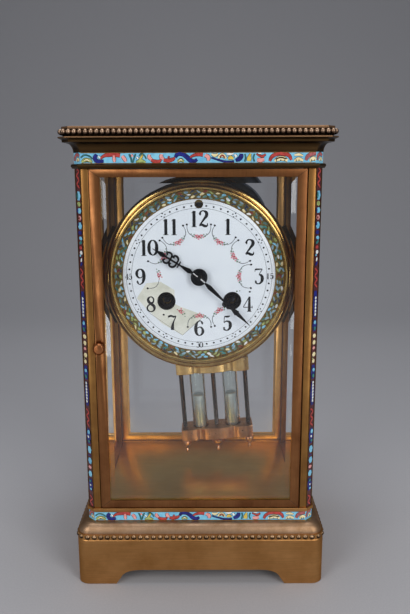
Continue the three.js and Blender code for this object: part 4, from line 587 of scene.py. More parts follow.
# Post strips: thin enamelled copper plates let into the cut corners. Runs of plaited red ribbon part them
# into lengths of blue scrolls, of white beads on navy, and of cream flowers.
strip_ground = fired_enamel("red brown enamel of the strips", "#5A2A2C", "#3C1C22", 2.2)
strip_low, strip_high = (corner.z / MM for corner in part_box("post_enamel_front_left"))
strip_span = strip_high - strip_low
strip_marks = [
    ("blue", [(0, 189.8, 1.0), (0.0, 192.3, 1.9), (0, 194.8, 1.0)]),
    ("teal", [(-1.1, 190.6, 0.3), (-1.1, 192.4, 0.6), (-1.1, 194.2, 0.3)], 2.4),
    ("leaf", [(-0.4, 186.5, 0.9), (0.0, 187.7, 1.7), (0.4, 188.9, 0.9)]),
    ("blue", [(0.3, 182.4, 1.0), (0.3, 183.9, 1.8), (0.3, 185.4, 1.0)]),
    ("navy", [(-1.4, 183.0, 0.3), (-1.5, 184.0, 0.6), (-1.6, 185.0, 0.3)], 2.2),
    ("pink", [(0.1, 178.6, 0.9), (0.2, 179.8, 1.6), (0.3, 181.0, 0.9)]),
    ("rust", [(0.3, 179.4, 0.3), (-0.3, 179.8, 0.5), (-0.9, 180.2, 0.3)], 2.2),
    ("blue", [(0.4, 173.5, 1.0), (0.2, 175.4, 1.9), (0, 177.3, 1.0)]),
    ("navy", [(-1.2, 175.4, 0.3), (-1.3, 176.2, 0.5), (-1.4, 177.0, 0.3)], 2.2),
    ("navy", [(0, 170.3, 1.0), (0.0, 171.4, 1.8), (0, 172.5, 1.0)]),
    ("blue", [(0.2, 167.3, 0.9), (0.4, 168.2, 1.6), (0.6, 169.2, 0.9)]),
    ("teal", [(0.4, 164.9, 0.9), (0.1, 165.7, 1.6), (-0.3, 166.4, 0.9)]),
    ("red", [(0, 161.9, 0.8), (0.0, 162.8, 1.5), (0, 163.7, 0.8)]),
    ("white", [(0.2, 158.9, 0.7), (0.3, 159.9, 1.3), (0.5, 161.0, 0.7)]),
    ("blue", [(-0.4, 157.7, 0.4), (-0.6, 158.2, 0.8), (-0.8, 158.8, 0.4)]),
    ("white", [(-0.2, 154.6, 0.4), (0.1, 155.6, 0.7), (0.4, 156.7, 0.4)]),
    ("navy", [(-0.9, 152.2, 0.4), (0.0, 153.3, 0.8), (0.9, 154.3, 0.4)]),
    ("navy", [(0, 121.4, 1.2), (0.0, 129.3, 2.1), (0, 137.2, 1.2)]),
    ("navy", [(0, 112.9, 1.2), (0.0, 116.4, 2.1), (0, 119.9, 1.2)]),
    ("blue", [(-0.2, 117.3, 0.7), (0.1, 118.3, 1.2), (0.4, 119.3, 0.7)], 2.7),
    ("teal", [(0.5, 113.7, 0.6), (0.1, 114.6, 1.1), (-0.2, 115.6, 0.6)], 2.7),
    ("cream", [(0.0, 108.9, 0.9), (0.2, 110.1, 1.7), (0.5, 111.2, 0.9)]),
    ("cream", [(0.4, 104.8, 0.8), (0.1, 106.1, 1.5), (-0.3, 107.3, 0.8)]),
    ("pink", [(0, 101.8, 0.7), (0.0, 102.6, 1.3), (0, 103.5, 0.7)]),
    ("cream", [(0.4, 97.4, 0.9), (0.3, 98.7, 1.7), (0.2, 100.0, 0.9)]),
    ("leaf", [(-0.6, 96.2, 0.3), (-0.8, 96.4, 0.6), (-1, 96.7, 0.3)]),
    ("cream", [(-0.5, 93.6, 0.7), (-0.1, 94.7, 1.3), (0.2, 95.8, 0.7)]),
    ("navy", [(0, 83.5, 1.2), (0.0, 87.9, 2.1), (0, 92.2, 1.2)]),
    ("blue", [(0, 88.2, 0.7), (0.2, 89.1, 1.2), (0.4, 90.1, 0.7)], 2.7),
    ("teal", [(0.4, 84.4, 0.6), (0.1, 85.4, 1.1), (-0.3, 86.5, 0.6)], 2.7),
    ("navy", [(0, 66.9, 1.2), (0.0, 74.5, 2.1), (0, 82.1, 1.2)]),
    ("navy", [(0, 42.3, 1.2), (0.0, 47.1, 2.1), (0, 52.0, 1.2)]),
    ("blue", [(0.2, 48.7, 0.7), (0.4, 49.9, 1.3), (0.6, 51.2, 0.7)], 2.7),
    ("white", [(0.4, 46.2, 0.4), (-0.1, 46.8, 0.7), (-0.6, 47.3, 0.4)], 2.7),
    ("teal", [(0.6, 43.2, 0.6), (0.4, 44.0, 1.1), (0.3, 44.8, 0.6)], 2.7),
    ("blue", [(0.5, 36.1, 1.0), (0.3, 38.3, 1.8), (0.2, 40.5, 1.0)]),
    ("navy", [(0, 34.2, 0.9), (0.0, 34.5, 1.6), (0, 34.8, 0.9)]),
    ("blue", [(0.4, 29.2, 1.0), (0.3, 31.1, 1.8), (0.2, 33.0, 1.0)]),
    ("pink", [(0, 25.8, 0.9), (0.0, 26.7, 1.6), (0, 27.6, 0.9)]),
    ("blue", [(0, 20.5, 1.0), (0.1, 22.3, 1.8), (0.3, 24.2, 1.0)]),
    ("navy", [(0, 10.9, 1.2), (0.0, 15.0, 2.1), (0, 19.1, 1.2)]),
    ("teal", [(-0.2, 16.9, 0.6), (0.0, 17.6, 1.0), (0.2, 18.3, 0.6)], 2.7),
    ("white", [(0.4, 14.3, 0.4), (0.1, 14.8, 0.7), (-0.3, 15.3, 0.4)], 2.7),
    ("blue", [(0.3, 11.6, 0.6), (0.3, 12.2, 1.0), (0.3, 12.9, 0.6)], 2.7),
]
for head, foot, count in [(133.0, 123.1, 6), (81.2, 69.7, 7)]:
    for number in range(count):
        z = foot + (head - foot) * number / (count - 1)
        strip_marks.append(("white", [(-0.4, z - 0.7, 0.3), (0.1, z, 0.85), (-0.4, z + 0.7, 0.3)], 2.7))
plait_pitch = 2.3
for head, foot in [(207.0, 196.6), (150.8, 139.2), (64.9, 53.4), (8.0, 1.0)]:
    for number in range(round((head - foot) / plait_pitch)):
        z = foot + plait_pitch * number
        lean = 1 if number % 2 else -1
        strip_marks.append(("red", [(-1.3 * lean, z, 0.35), (0, z + 1.2, 0.6), (1.3 * lean, z + 2.2, 0.35)]))
for side_x, side_y, side in [(-1, -1, "front_left"), (1, -1, "front_right"), (-1, 1, "rear_left"),
                             (1, 1, "rear_right")]:
    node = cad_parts["post_enamel_" + side]
    node.data.materials.clear()
    node.data.materials.append(strip_ground)
    away = Vector((side_x, side_y, 0)).normalized()
    along = Vector((-away.y, away.x, 0))
    middle = Vector((side_x * (case_x - chamfer / 2), side_y * (case_y - chamfer / 2), strip_low))

    def on_strip(across, up, out, away=away, along=along, middle=middle):
        return middle + along * across + away * out + Vector((0, 0, up))

    walls = [("wire", [(edge, 0.5, 0.16), (edge, strip_span - 0.5, 0.16)]) for edge in (-2.5, 2.5)]
    marks = drawn("post_scrolls_" + side, strip_marks + walls, on_strip, "case")


# Cornice: the cap casting, a cavetto and steps under a thin slab. It was left dark bronze, and only its
# edges have worn through to yellow metal.
def worn_metal(name, dark, worn, rough, edge_share):
    """Patinated bronze: mottled brown that is rubbed through to yellow along edges and high spots."""
    material, shader, place = new_finish(name)
    clouds = add_node(material, "TexNoise", {}, {"Vector": place, "Scale": 90, "Detail": 5})
    form = add_node(material, "NewGeometry", {}, {})
    mixed = add_node(material, "Math", {"operation": "MULTIPLY_ADD"}, {
        0: clouds.outputs["Fac"], 1: edge_share, 2: form.outputs["Pointiness"]})
    tone = add_node(material, "ValToRGB", {}, {"Fac": mixed.outputs["Value"]},
                    [(0.5 + edge_share * 0.42, linear(dark)), (0.5 + edge_share * 0.75, linear(worn))])
    polish = add_node(material, "MapRange", {}, {
        "Value": clouds.outputs["Fac"], "To Min": rough - 0.08, "To Max": rough + 0.1})
    feed(material, shader, {
        "Base Color": tone.outputs["Color"], "Roughness": polish.outputs["Result"], "Metallic": 1.0})
    return material


cap_low, cap_high = (corner.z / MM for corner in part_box("cap_cornice"))
cap_band_low, cap_band_high = (corner.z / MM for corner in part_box("cap_enamel_band"))


def cap_level(z, proud):
    return corner_loop(case_x + proud, case_y + proud, z, chamfer, False, 3)


cap_levels = [cap_level(cap_low, 0.9), cap_level(cap_low + 0.2, 1.1), cap_level(cap_low + 1.3, 1.7),
              cap_level(cap_low + 2.2, 1.5), cap_level(cap_band_low, 0.9),
              cap_level(cap_band_low + 0.02, -1.5), cap_level(cap_band_high, -1.5),
              cap_level(cap_band_high + 0.02, 0.2)]
for degrees in range(10, 91, 10):
    lean = math.radians(degrees)
    cap_levels.append(cap_level(cap_band_high + 5.4 * math.sin(lean), 0.2 + 3.6 * (1 - math.cos(lean))))
cap_levels += [cap_level(cap_high - z, proud) for z, proud in [
    (8.45, 5.3), (7.2, 5.4), (7.1, 5.5), (6.4, 7.0), (6.1, 7.2), (5.6, 7.05), (5.5, 6.7), (5.4, 4.8),
    (4.4, 4.6), (1.6, 4.6), (1.5, 4.8), (1.3, 5.2), (1.1, 5.3), (0.2, 5.3), (0.0, 5.1)]]
cornice = lofted("cap_moulding", cap_levels)
roof = [corner_loop(57.0, 41.8, z, 0.4, False, 1) for z in (250, cap_high - 4.0)]
cut_away(cornice, lofted("roof_hollow", roof))
cornice_bronze = worn_metal("dark bronze, worn at its edges", "#20150D", "#46341F", 0.36, 0.05)
softened(cornice, cornice_bronze, "case", 28)
# The slab and the upper lip of the edge moulding get a lighter bronze: on the slab partly rubbed wear and
# partly painted highlight, on the lip a painted highlight where light from above catches it.
lit_slab_bronze = worn_metal("bronze of the slab, rubbed and painted lighter", "#5A4432", "#8C6C50", 0.46, 0.05)
cornice.data.materials.append(lit_slab_bronze)
for face in cornice.data.polygons:
    from_top = cap_high - face.center.z / MM
    if from_top < 1.6 or 5.5 < from_top < 6.2:
        face.material_index = 1
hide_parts("cap_cornice")
cap_bead_metal = bead_metal("beaded wire under the slab", "#A68C76", "#503C30",
                            cap_high - 4.6, cap_high - 1.4)
cap_beads = bead_row("cap_beads", case_x + 5.7, case_y + 5.7, corner=chamfer, z=cap_high - 3.05, radius=1.58,
                     tall=1.62, pitch=3.08, material=cap_bead_metal)

# Side frames: flat brass frames screwed between the posts, holding a bevelled pane each. Their gilding is
# painted a bright yellow gold with a silky sheen, lighter than the front's: painted light for the dimly lit
# inside of the case.
bright_gilt_painted_light = gilt_metal("bright gilding that was little rubbed", "#F0BC78", "#CE9A52", 0.36,
                        (1500, 1500, 60), 16.0, 0.05)
for side in ("left", "right"):
    side_frame = softened(own_copy("side_frame_" + side), bright_gilt_painted_light, "case", 30, 0.3)


# Panes: thick polished plate glass with a wide bevel ground round the edge, one held in each side frame and
# one in each door. The flat is clear as air, and the bevel shifts whatever is seen through it.
def clear_glass(name, tint, smear_mm):
    """Polished glass with faint smears; lamp light and mirrored rays go straight through it."""
    material, shader, place = new_finish(name)
    smears = add_node(material, "TexNoise", {}, {"Vector": place, "Scale": 1000 / smear_mm})
    haze = add_node(material, "MapRange", {}, {
        "Value": smears.outputs["Fac"], "From Min": 0.45, "From Max": 0.8, "To Min": 0.0, "To Max": 0.04})
    feed(material, shader, {
        "Base Color": linear(tint), "Transmission Weight": 1.0, "IOR": 1.5, "Specular IOR Level": 0.28,
        "Roughness": haze.outputs["Result"]})
    path = add_node(material, "LightPath", {}, {})
    straight = add_node(material, "Math", {"operation": "MAXIMUM"}, {
        0: path.outputs["Is Shadow Ray"], 1: path.outputs["Is Reflection Ray"]})
    open_air = add_node(material, "BsdfTransparent", {}, {"Color": linear(tint)})
    either = add_node(material, "MixShader", {}, {
        0: straight.outputs["Value"], 1: shader.outputs["BSDF"], 2: open_air.outputs["BSDF"]})
    feed(material, material.node_tree.nodes["Material Output"], {"Surface": either.outputs["Shader"]})
    return material


pane_glass = clear_glass("bevelled plate glass", "#FBFCFD", 40)
for pane in ("side_glass_left", "side_glass_right", "front_door_glass", "rear_door_glass"):
    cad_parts[pane].data.materials.clear()
    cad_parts[pane].data.materials.append(pane_glass)

# Doors: brass frames mitred and brazed at the corners, turning on two pins. The front one's gilding is
# worn to a silky copper brown, the rear one's is as bright as the side frames'. Each mitre shows as a fine
# dark line.
copper_gilt = gilt_metal("copper-toned gilding of the front", "#9C6A42", "#7A4E30", 0.33,
                         (1500, 1500, 60), 16.0, 0.05)
hairline = {"line": fired_enamel("dirt in the mitre", "#3A2416", "#24160D")}
door_half, rail_low, rail_high, door_stile = 61.6, 4.8, 4.4, 5.8
for door, facing in [("front", -1), ("rear", 1)]:
    # The rear door's bright gilding is painted light for the dimly lit inside of the case.
    door_gilt = copper_gilt if door == "front" else bright_gilt_painted_light
    door_frame = softened(own_copy(door + "_door_frame"), door_gilt, door + "_door", 30, 0.35)
    low, high = (corner.z / MM + shift for corner, shift in zip(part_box(door + "_door_glass"), (-3.8, 3.4)))
    mitres = []
    for side in (-1, 1):
        outer, inner = side * door_half * 0.996, side * (door_half - door_stile)
        mitres.append(("line", [(outer, low + 0.3, 0.09), (inner, low + rail_low, 0.09)]))
        mitres.append(("line", [(outer, high - 0.3, 0.09), (inner, high - rail_high, 0.09)]))

    def on_door(across, up, out, facing=facing):
        return Vector((across, facing * (case_y + out - 0.02), up))

    lines = drawn(door + "_door_mitres", mitres, on_door, door + "_door", 0.05, hairline, None)

# Knobs: small turned brass buttons; each works a flat catch behind the door's stile. Fingers keep them
# polished, so each shows one small bright light.
knob_gilt = gilt_metal("turned brass of the knobs", "#C08054", "#96603C", 0.3, (700, 700, 700), 5.0, 0.05)
for door in ("front", "rear"):
    knob = softened(own_copy(door + "_door_knob"), knob_gilt, door + "_knob", 40, 0.2)

# Movement ring and its lugs: the turned brass band that carries the movement, held to the posts on each
# side. It is dull and dark beside the bezel, the lugs are gilt like the front door.
ring_bronze = gilt_metal("dull bronze of the movement ring", "#6E5636", "#4A3822", 0.36, (300, 60, 300), 12.0)
movement_ring = softened(own_copy("movement_ring"), ring_bronze, "case", 30, 0.4)
for side in ("left", "right"):
    lug = softened(own_copy("ring_bracket_" + side), copper_gilt, "case", 30, 0.3)


# Bezel: spun brass, turned with a step, a slope and a rolled lip, then burnished and lacquered, so that
# each turned edge carries a thin sharp yellow light.
def turned(name, section, centre, axis=(0, 1, 0), steps=96):
    """A lathe-turned piece: its section (distance from the axis, place along it) swung full circle, in mm."""
    bpy.ops.object.select_all(action="DESELECT")
    bpy.ops.mesh.primitive_circle_add(vertices=len(section), fill_type="NOTHING")
    piece = bpy.context.object
    piece.name = name
    middle, run = Vector(centre), Vector(axis)
    for vertex, (radius, along) in zip(piece.data.vertices, section):
        vertex.co = (middle + Vector((radius, 0, 0)) + run * along) * MM
    bpy.ops.object.mode_set(mode="EDIT")
    bpy.ops.mesh.select_all(action="SELECT")
    bpy.ops.mesh.spin(steps=steps, angle=2 * math.pi, center=middle * MM, axis=run)
    bpy.ops.mesh.select_all(action="SELECT")
    bpy.ops.mesh.remove_doubles(threshold=2e-6)
    bpy.ops.mesh.dissolve_degenerate(threshold=2e-6)
    bpy.ops.mesh.delete_loose(use_verts=True, use_edges=True, use_faces=False)
    bpy.ops.mesh.select_all(action="SELECT")
    bpy.ops.mesh.normals_make_consistent(inside=False)
    bpy.ops.object.mode_set(mode="OBJECT")
    return piece


dial_height = (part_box("bezel")[0].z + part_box("bezel")[1].z) / 2 / MM
dial_middle = (0, 0, dial_height)
bezel_gilt = gilt_metal("burnished lacquered brass", "#D8B670", "#A88244", 0.2, (500, 60, 500), 9.0, 0.02)
bezel = turned("bezel_ring", [
    (44, -35), (57.1, -35), (57.2, -38.8), (57.18, -39.9), (57.0, -40.5), (56.4, -41.1), (55.6, -41.55),
    (54.8, -41.85), (54.3, -41.9), (54.0, -41.65), (53.85, -42.0), (53.6, -42.7), (53.2, -43.2),
    (52.7, -43.35), (52.2, -43.2), (51.8, -42.6), (51.5, -41.8), (51.35, -41.0), (51.35, -37.4),
    (44, -37.4)], dial_middle, steps=144)
softened(bezel, bezel_gilt, "case", 25)
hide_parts("bezel")

# Enamel ring round the dial: a flat brass ring with small curls and leaves in misty and sky blue, sea
# green, slate, cream and rust, on a ground that is mostly the gold of its cell walls. The real curls are
# finer and more of them; these are as coarse as they need to be to show.
ring_ground = gilt_metal("stoned gilt ground of the ring", "#9C8C50", "#6A6238", 0.34, (900, 900, 900), 2.4)
enamel_ring = softened(own_copy("dial_enamel_ring"), ring_ground, "case", 30)
ring_face = -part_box("dial_enamel_ring")[0].y / MM
ring_colours = {
    "mist": fired_enamel("misty blue enamel", "#93B4C4", "#6E94AA"),
    "sea": fired_enamel("sea green enamel", "#6F968E", "#4E766F"),
    "slate": fired_enamel("slate enamel", "#3A4658", "#262E40"),
    "wall": gilt_metal("gilt walls of the ring", "#B49A56", "#7E6C3C", 0.34, (900, 900, 900), 2.4),
    **{name: enamels[name] for name in ("blue", "teal", "leaf", "cream", "white", "rust", "wire")}}
curl_colours = ["mist", "teal", "slate", "mist", "cream", "sea", "slate", "mist", "rust", "blue", "sea",
                "white", "mist", "leaf"]
ring_mean = 48.8
curls = [("wire", [(degrees * ring_mean * math.pi / 180, radius, 0.22) for degrees in range(0, 361, 5)])
         for radius in (46.35, 51.1)]
for row, (radius, count) in enumerate([(47.2, 84), (48.75, 78), (50.3, 84)]):
    for number in range(count):
        middle = (number + 0.5 * row) * 2 * math.pi * ring_mean / count
        jump = number * 5 + row * 4 + number // 6 + number * number // 11
        colour = curl_colours[jump % len(curl_colours)]
        sway = 0.75 * math.sin(number * 2.3 + row)
        width = 0.62 + 0.16 * math.sin(number * 1.7 + row)
        curls.append((colour, [
            (middle - 1.2, radius - sway, width * 0.5), (middle, radius + sway * 0.4, width),
            (middle + 1.2, radius + sway, width * 0.5)]))


def on_ring(along, radius, out):
    turn = along / ring_mean
    return Vector((radius * math.sin(turn), -ring_face - out, dial_height + radius * math.cos(turn)))


ring_curls = drawn("dial_ring_scrolls", curls, on_ring, "case", 0.06, ring_colours)

# Dial: a slightly domed copper disc with white enamel fired on it, holed for the hands, two winding
# squares and the fast-slow arbor at the top. Its lower left was broken out once and refilled off-white.
dial_radius, dial_rise = 46.0, 1.6
hole_across, hole_up = 19.8, -14.8
dial_edge = -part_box("dial")[0].y / MM - dial_rise
dial_white = fired_enamel("white porcelain enamel", "#EDF5FC", "#E6EEF7", 12.0)


def dial_front(radius):
    """How far in front of the clock's middle plane the domed face stands at a radius, in mm."""
    return dial_edge + dial_rise * (1 - (radius / dial_radius) ** 2)


rings = [step * dial_radius / 12 for step in range(12)] + [45.6]
dial_section = [(radius, -dial_front(radius)) for radius in rings]
dial_section += [(45.95, -dial_edge + 0.15), (46, -37.6), (45.8, -37.4), (45.0, -37.4), (0, -38.4)]
dial = turned("enamel_dial", dial_section, dial_middle, steps=120)
for across, up, radius in [(0, 0, 3.4), (-hole_across, hole_up, 5.3), (hole_across, hole_up, 5.3),
                           (0, 43.0, 2.6)]:
    hole = [(across + radius * math.cos(step * math.pi / 24),
             dial_height + up + radius * math.sin(step * math.pi / 24)) for step in range(48)]
    cut_away(dial, lofted("hole", [[(x, y, z) for x, z in hole] for y in (-45, -35)]))
softened(dial, dial_white, "case", 30)
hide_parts("dial")

# Painting of the dial: black figures with ball ends, a ring of minute dots between two fine circles, and
# swags of tiny pink flowers, all fired on over the white.
paints = {
    "black": fired_enamel("black painted figures", "#17191C", "#0E1012", 2.0),
    "grey": fired_enamel("fine grey painted lines", "#4E5660", "#3C434C", 2.0),
    "rose": fired_enamel("rose painted flowers", "#D9808C", "#C9606E", 0.8),
    "crimson": fired_enamel("crimson painted buds", "#B8404A", "#9C3040", 0.8),
    "sage": fired_enamel("sage painted leaves", "#5E7F5E", "#46664A", 0.8),
    "iron": fired_enamel("thin brown crack lines", "#6A5F50", "#544A3E", 0.8),
}
# Each figure is drawn on a field 9.2 high, with its foot at 0, as pen lines of varying width.
figure_lines = {
    "0": [[(0, 0.3, 0.22), (-1.7, 1.6, 0.6), (-2.2, 4.6, 0.85), (-1.7, 7.6, 0.6), (0, 8.9, 0.22),
           (1.7, 7.6, 0.6), (2.2, 4.6, 0.85), (1.7, 1.6, 0.6), (0, 0.3, 0.22)]],
    "1": [[(0, 0.3, 0.75), (0, 9.0, 0.75)], [(-1.5, 0.12, 0.14), (1.5, 0.12, 0.14)],
          [(-1.5, 7.9, 0.14), (-0.6, 8.3, 0.2), (0, 9.0, 0.3)]],
    "2": [[(-2.0, 7.0, 0.55), (-1.2, 8.7, 0.35), (0.2, 9.05, 0.3), (1.8, 8.0, 0.75), (1.9, 6.6, 0.8),
           (0.6, 4.6, 0.55), (-1.2, 2.2, 0.35), (-2.2, 0.9, 0.25)],
          [(-2.2, 0.7, 0.3), (-0.8, 1.3, 0.6), (0.8, 0.6, 0.65), (2.1, 0.7, 0.4), (2.4, 2.2, 0.15)],
          [(-2.3, 7.2, 0.1), (-1.7, 7.2, 0.75), (-1.1, 7.2, 0.1)]],
    "3": [[(-2.0, 8.6, 0.45), (0, 8.7, 0.35), (2.1, 8.8, 0.2)], [(-2.1, 8.9, 0.12), (-2.2, 7.2, 0.12)],
          [(2.1, 8.8, 0.16), (0.2, 5.6, 0.2)],
          [(0.2, 5.5, 0.2), (1.4, 5.2, 0.6), (2.1, 3.2, 0.85), (1.3, 0.9, 0.5), (-0.3, 0.25, 0.25),
           (-1.9, 1.2, 0.5)],
          [(-2.2, 1.6, 0.1), (-1.6, 1.6, 0.7), (-1.0, 1.6, 0.1)]],
    "4": [[(0.9, 9.0, 0.2), (-2.6, 2.9, 0.2)], [(-2.6, 2.7, 0.2), (2.6, 2.7, 0.2)],
          [(2.6, 3.6, 0.15), (2.6, 2.0, 0.15)], [(0.9, 9.0, 0.5), (0.9, 0.3, 0.75)],
          [(-0.4, 0.12, 0.14), (2.2, 0.12, 0.14)]],
    "5": [[(-1.2, 8.6, 0.35), (0.6, 8.5, 0.5), (2.0, 9.0, 0.2)], [(-1.3, 8.7, 0.16), (-1.6, 5.2, 0.16)],
          [(-1.6, 4.9, 0.2), (0, 5.8, 0.35), (1.8, 4.9, 0.7), (2.1, 3.0, 0.85), (1.2, 0.8, 0.5),
           (-0.3, 0.25, 0.25), (-1.8, 1.2, 0.5)], [(-2.1, 1.7, 0.1), (-1.5, 1.7, 0.65), (-0.9, 1.7, 0.1)]],
    "6": [[(1.7, 7.6, 0.55), (0.9, 8.9, 0.25), (-0.6, 8.7, 0.3), (-1.9, 6.4, 0.75), (-2.1, 3.6, 0.85),
           (-1.4, 1.0, 0.6), (0, 0.25, 0.25), (1.5, 1.2, 0.55), (2.0, 2.9, 0.75), (1.3, 4.8, 0.45),
           (0, 5.3, 0.25), (-1.6, 4.2, 0.2)], [(1.2, 7.5, 0.1), (1.7, 7.5, 0.65), (2.2, 7.5, 0.1)]],
    "7": [[(-2.2, 8.4, 0.5), (-0.6, 8.9, 0.5), (0.8, 8.4, 0.5), (2.2, 8.9, 0.25)],
          [(-2.3, 9.1, 0.14), (-2.4, 7.4, 0.14)],
          [(2.2, 8.8, 0.2), (0.8, 5.4, 0.35), (0.1, 2.6, 0.75), (0.1, 0.4, 0.85)]],
    "8": [[(0.3, 4.9, 0.6), (1.6, 6.6, 0.35), (1.2, 8.5, 0.35), (0, 9.0, 0.25), (-1.4, 8.0, 0.55),
           (-1.3, 6.4, 0.7), (0.2, 4.9, 0.7), (1.9, 3.2, 0.7), (1.8, 1.3, 0.45), (0, 0.25, 0.25),
           (-1.8, 1.2, 0.45), (-2.0, 3.0, 0.4), (-0.4, 4.7, 0.35), (0.3, 4.9, 0.3)]],
}
figure_lines["9"] = [[(-x, 9.2 - y, w) for x, y, w in line] for line in figure_lines["6"]]


def figures(text, across, up, height, pitch):
    """Strokes of a number with its middle at a place on the dial, in mm."""
    size = height / 9.2
    weight = 1.18 * size
    marks = []
    for place, digit in enumerate(text):
        shift = (place - (len(text) - 1) / 2) * pitch * size
        if len(text) > 1 and text[0] == "1" and text[1] != "1":
            shift += (-0.4 if place == 0 else 0.1) * size
        for line in figure_lines[digit]:
            marks.append(("black", [(across + shift + x * size, up + (y - 4.6) * size, w * weight)
                                    for x, y, w in line]))
    return marks


def at_bearing(degrees, radius):
    """Across and up of a place on the dial, from its bearing clockwise of twelve and its radius."""
    return radius * math.sin(math.radians(degrees)), radius * math.cos(math.radians(degrees))


def dot(colour, across, up, radius):
    """A round spot, as a very short stroke that is thick in the middle."""
    return (colour, [
        (across - radius, up, radius * 0.5), (across, up, radius), (across + radius, up, radius * 0.5)])


figure_radii = [34.3, 34.7, 35.7, 33.9, 33.2, 31.9, 33.0, 33.9, 35.4, 34.7, 34.3, 34.4]
painting = []
for hour, radius in enumerate(figure_radii, 1):
    painting += figures(str(hour), *at_bearing(hour * 30, radius), 9.6, 4.7)
for radius in (40.6, 43.8):
    circle = [(*at_bearing(degrees, radius), 0.09) for degrees in range(0, 361, 9)]
    painting.append(("grey", circle))
for minute in range(60):
    if minute in (0, 15, 30, 45):
        continue
    if minute % 5:
        painting.append(dot("black", *at_bearing(minute * 6, 42.1), 0.58))
        continue
    for turn, reach in [(0, 43.3), (0, 40.9), (1.6, 42.1), (-1.6, 42.1)]:
        painting.append(dot("black", *at_bearing(minute * 6 + turn, reach), 0.42))
for text, degrees in [("15", 90), ("30", 180), ("45", 270)]:
    painting += figures(text, *at_bearing(degrees, 42.5), 3.6, 5.2)
swag_line = [(-12.9, 31.6, 0.13), (-13.8, 29.0, 0.17), (-12.5, 26.4, 0.18), (-9, 24.9, 0.16),
             (-5, 24.2, 0.13)]
for number in range(12):
    middle = number * 30
    if number == 8:  # lost under the repair
        continue
    for hand in (-1, 1):
        if (number, hand) in ((7, 1), (9, -1)):
            continue
        painting.append(("grey", [(*at_bearing(middle + hand * turn, radius), width)
                                  for turn, radius, width in swag_line]))
        painting.append(dot("black", *at_bearing(middle - hand * 12.9, 31.9), 0.62))
        for turn, radius, size, colour in [
                (10.2, 25.9, 0.34, "sage"), (8.4, 24.4, 0.5, "sage"), (6.4, 25.3, 0.42, "sage"),
                (6.2, 23.6, 0.42, "rose"), (4.2, 24.7, 0.6, "rose"), (3.6, 23.2, 0.4, "sage"),
                (2.0, 24.9, 0.42, "rose"), (1.7, 23.4, 0.6, "rose")]:
            painting.append(dot(colour, *at_bearing(middle + hand * turn, radius), size))
    for turn, radius, size, colour in [(0, 24.2, 0.62, "crimson"), (3.4, 24.2, 0.36, "crimson"),
                                       (-3.2, 24.0, 0.36, "crimson"), (-0.6, 22.4, 0.44, "rose")]:
        painting.append(dot(colour, *at_bearing(middle + turn, radius), size))
painting.append(("iron", [(-31.0, -22.0, 0.07), (-20.0, -29.6, 0.09), (-10.4, -36.3, 0.09)]))
painting.append(("iron", [(-10.4, -36.3, 0.09), (-4.0, -30.4, 0.1), (3.2, -23.9, 0.08)]))


def clears_holes(stroke):
    """False where a stroke would be painted over one of the winding holes."""
    return all(math.hypot(abs(across) - hole_across, up - hole_up) > 5.8 for across, up, width in stroke[1])


def on_dial(across, up, out):
    radius = math.hypot(across, up)
    return Vector((across, -dial_front(radius) - out, dial_height + up))


painting = [stroke for stroke in painting if clears_holes(stroke)]
dial_painting = drawn("dial_painting", painting, on_dial, "case", 0.012, paints, None)

# Winding collets: thin near-black cups pressed into the two winding holes, painted shade standing in for
# the dark inside the holes, so that only the key square shows.
collet_painted_shade = gilt_metal("near-black of the collets, painted shade", "#1E1D1C", "#121110", 0.5, (300, 300, 300), 3.0)
radius, opening, face = 5.28, 2.55, -dial_front(24.7)
cup = [(opening, -36.5), (opening, -36.8), (4.5, -36.8), (4.6, face - 0.1), (4.9, face - 0.35),
       (radius, face - 0.3), (radius + 0.25, face - 0.05), (radius - 0.02, face + 0.1),
       (radius - 0.02, -37.2), (4.9, -36.5)]
for name, across in [("left", -hole_across), ("right", hole_across)]:
    collet = turned("winding_collet_" + name, cup, (across, 0, dial_height + hole_up), steps=48)
    softened(collet, collet_painted_shade, "case", 35)

# Refilled patch: where the enamel had broken away at the lower left, hard filler was laid on the copper and
# rubbed down almost level. It was tinted a little too yellow, so it shows beside the cold white.
filler = fired_enamel("yellowed filler of the repair", "#E6E8DD", "#D2D5C6", 7.0)
patch_outline = [(-37.8, -13.2), (-31.8, -4.0), (-23.2, -3.1), (-15, -8), (-14.7, -16.7), (-11.3, -18.4),
                 (3.2, -23.9), (-10.4, -36.3), (-23.2, -28.6), (-31.8, -20)]
patch = bpy.data.objects.new("dial_repair", dial.data.copy())
bpy.context.scene.collection.objects.link(patch)
prism = lofted("prism", [[(x, y, dial_height + z) for x, z in patch_outline] for y in (-45, -35)])
cut_away(patch, prism, "INTERSECT")
bpy.ops.object.mode_set(mode="EDIT")
bpy.ops.mesh.select_all(action="SELECT")
bpy.ops.mesh.remove_doubles(threshold=5e-6)
bpy.ops.mesh.dissolve_degenerate(threshold=5e-6)
bpy.ops.object.mode_set(mode="OBJECT")
proud = 0.018
patch.data.transform(Matrix.Translation((0, -proud * MM, 0)))
softened(patch, filler, "case", 30)

# Hands: pierced steel, blued almost black, each sawn from sheet with a round eye. The hour hand rides
# on the hour pipe, the minute hand on the square of the centre arbor, held by a taper pin.
hand_black = {"steel": gilt_metal("blackened steel of the hands", "#1C1D20", "#101114", 0.34,
                                  (300, 300, 300), 3.0)}
hour_reach = [
    [(0, 4.6, 0.6), (0, 7.4, 1.5), (0, 10.2, 1.0), (0, 13.0, 0.5), (0, 16.5, 0.55), (0, 24, 0.6)],
    [(-2.2, 14.2, 0.4), (0, 14.2, 0.5), (2.2, 14.2, 0.4)],
    [(0, 23.2, 0.4), (0, 26.0, 1.5), (0, 29.0, 0.6), (0, 32.4, 0.14)],
]
hour_curls = [
    [(0, 15.8, 0.5), (2.2, 15.9, 0.62), (3.5, 17.4, 0.66), (2.9, 19.2, 0.62), (1.6, 18.8, 0.6)],
    [(0, 20.2, 0.5), (2.4, 20.4, 0.62), (3.4, 22.0, 0.6), (2.4, 23.6, 0.6), (1.3, 22.8, 0.5)],
]
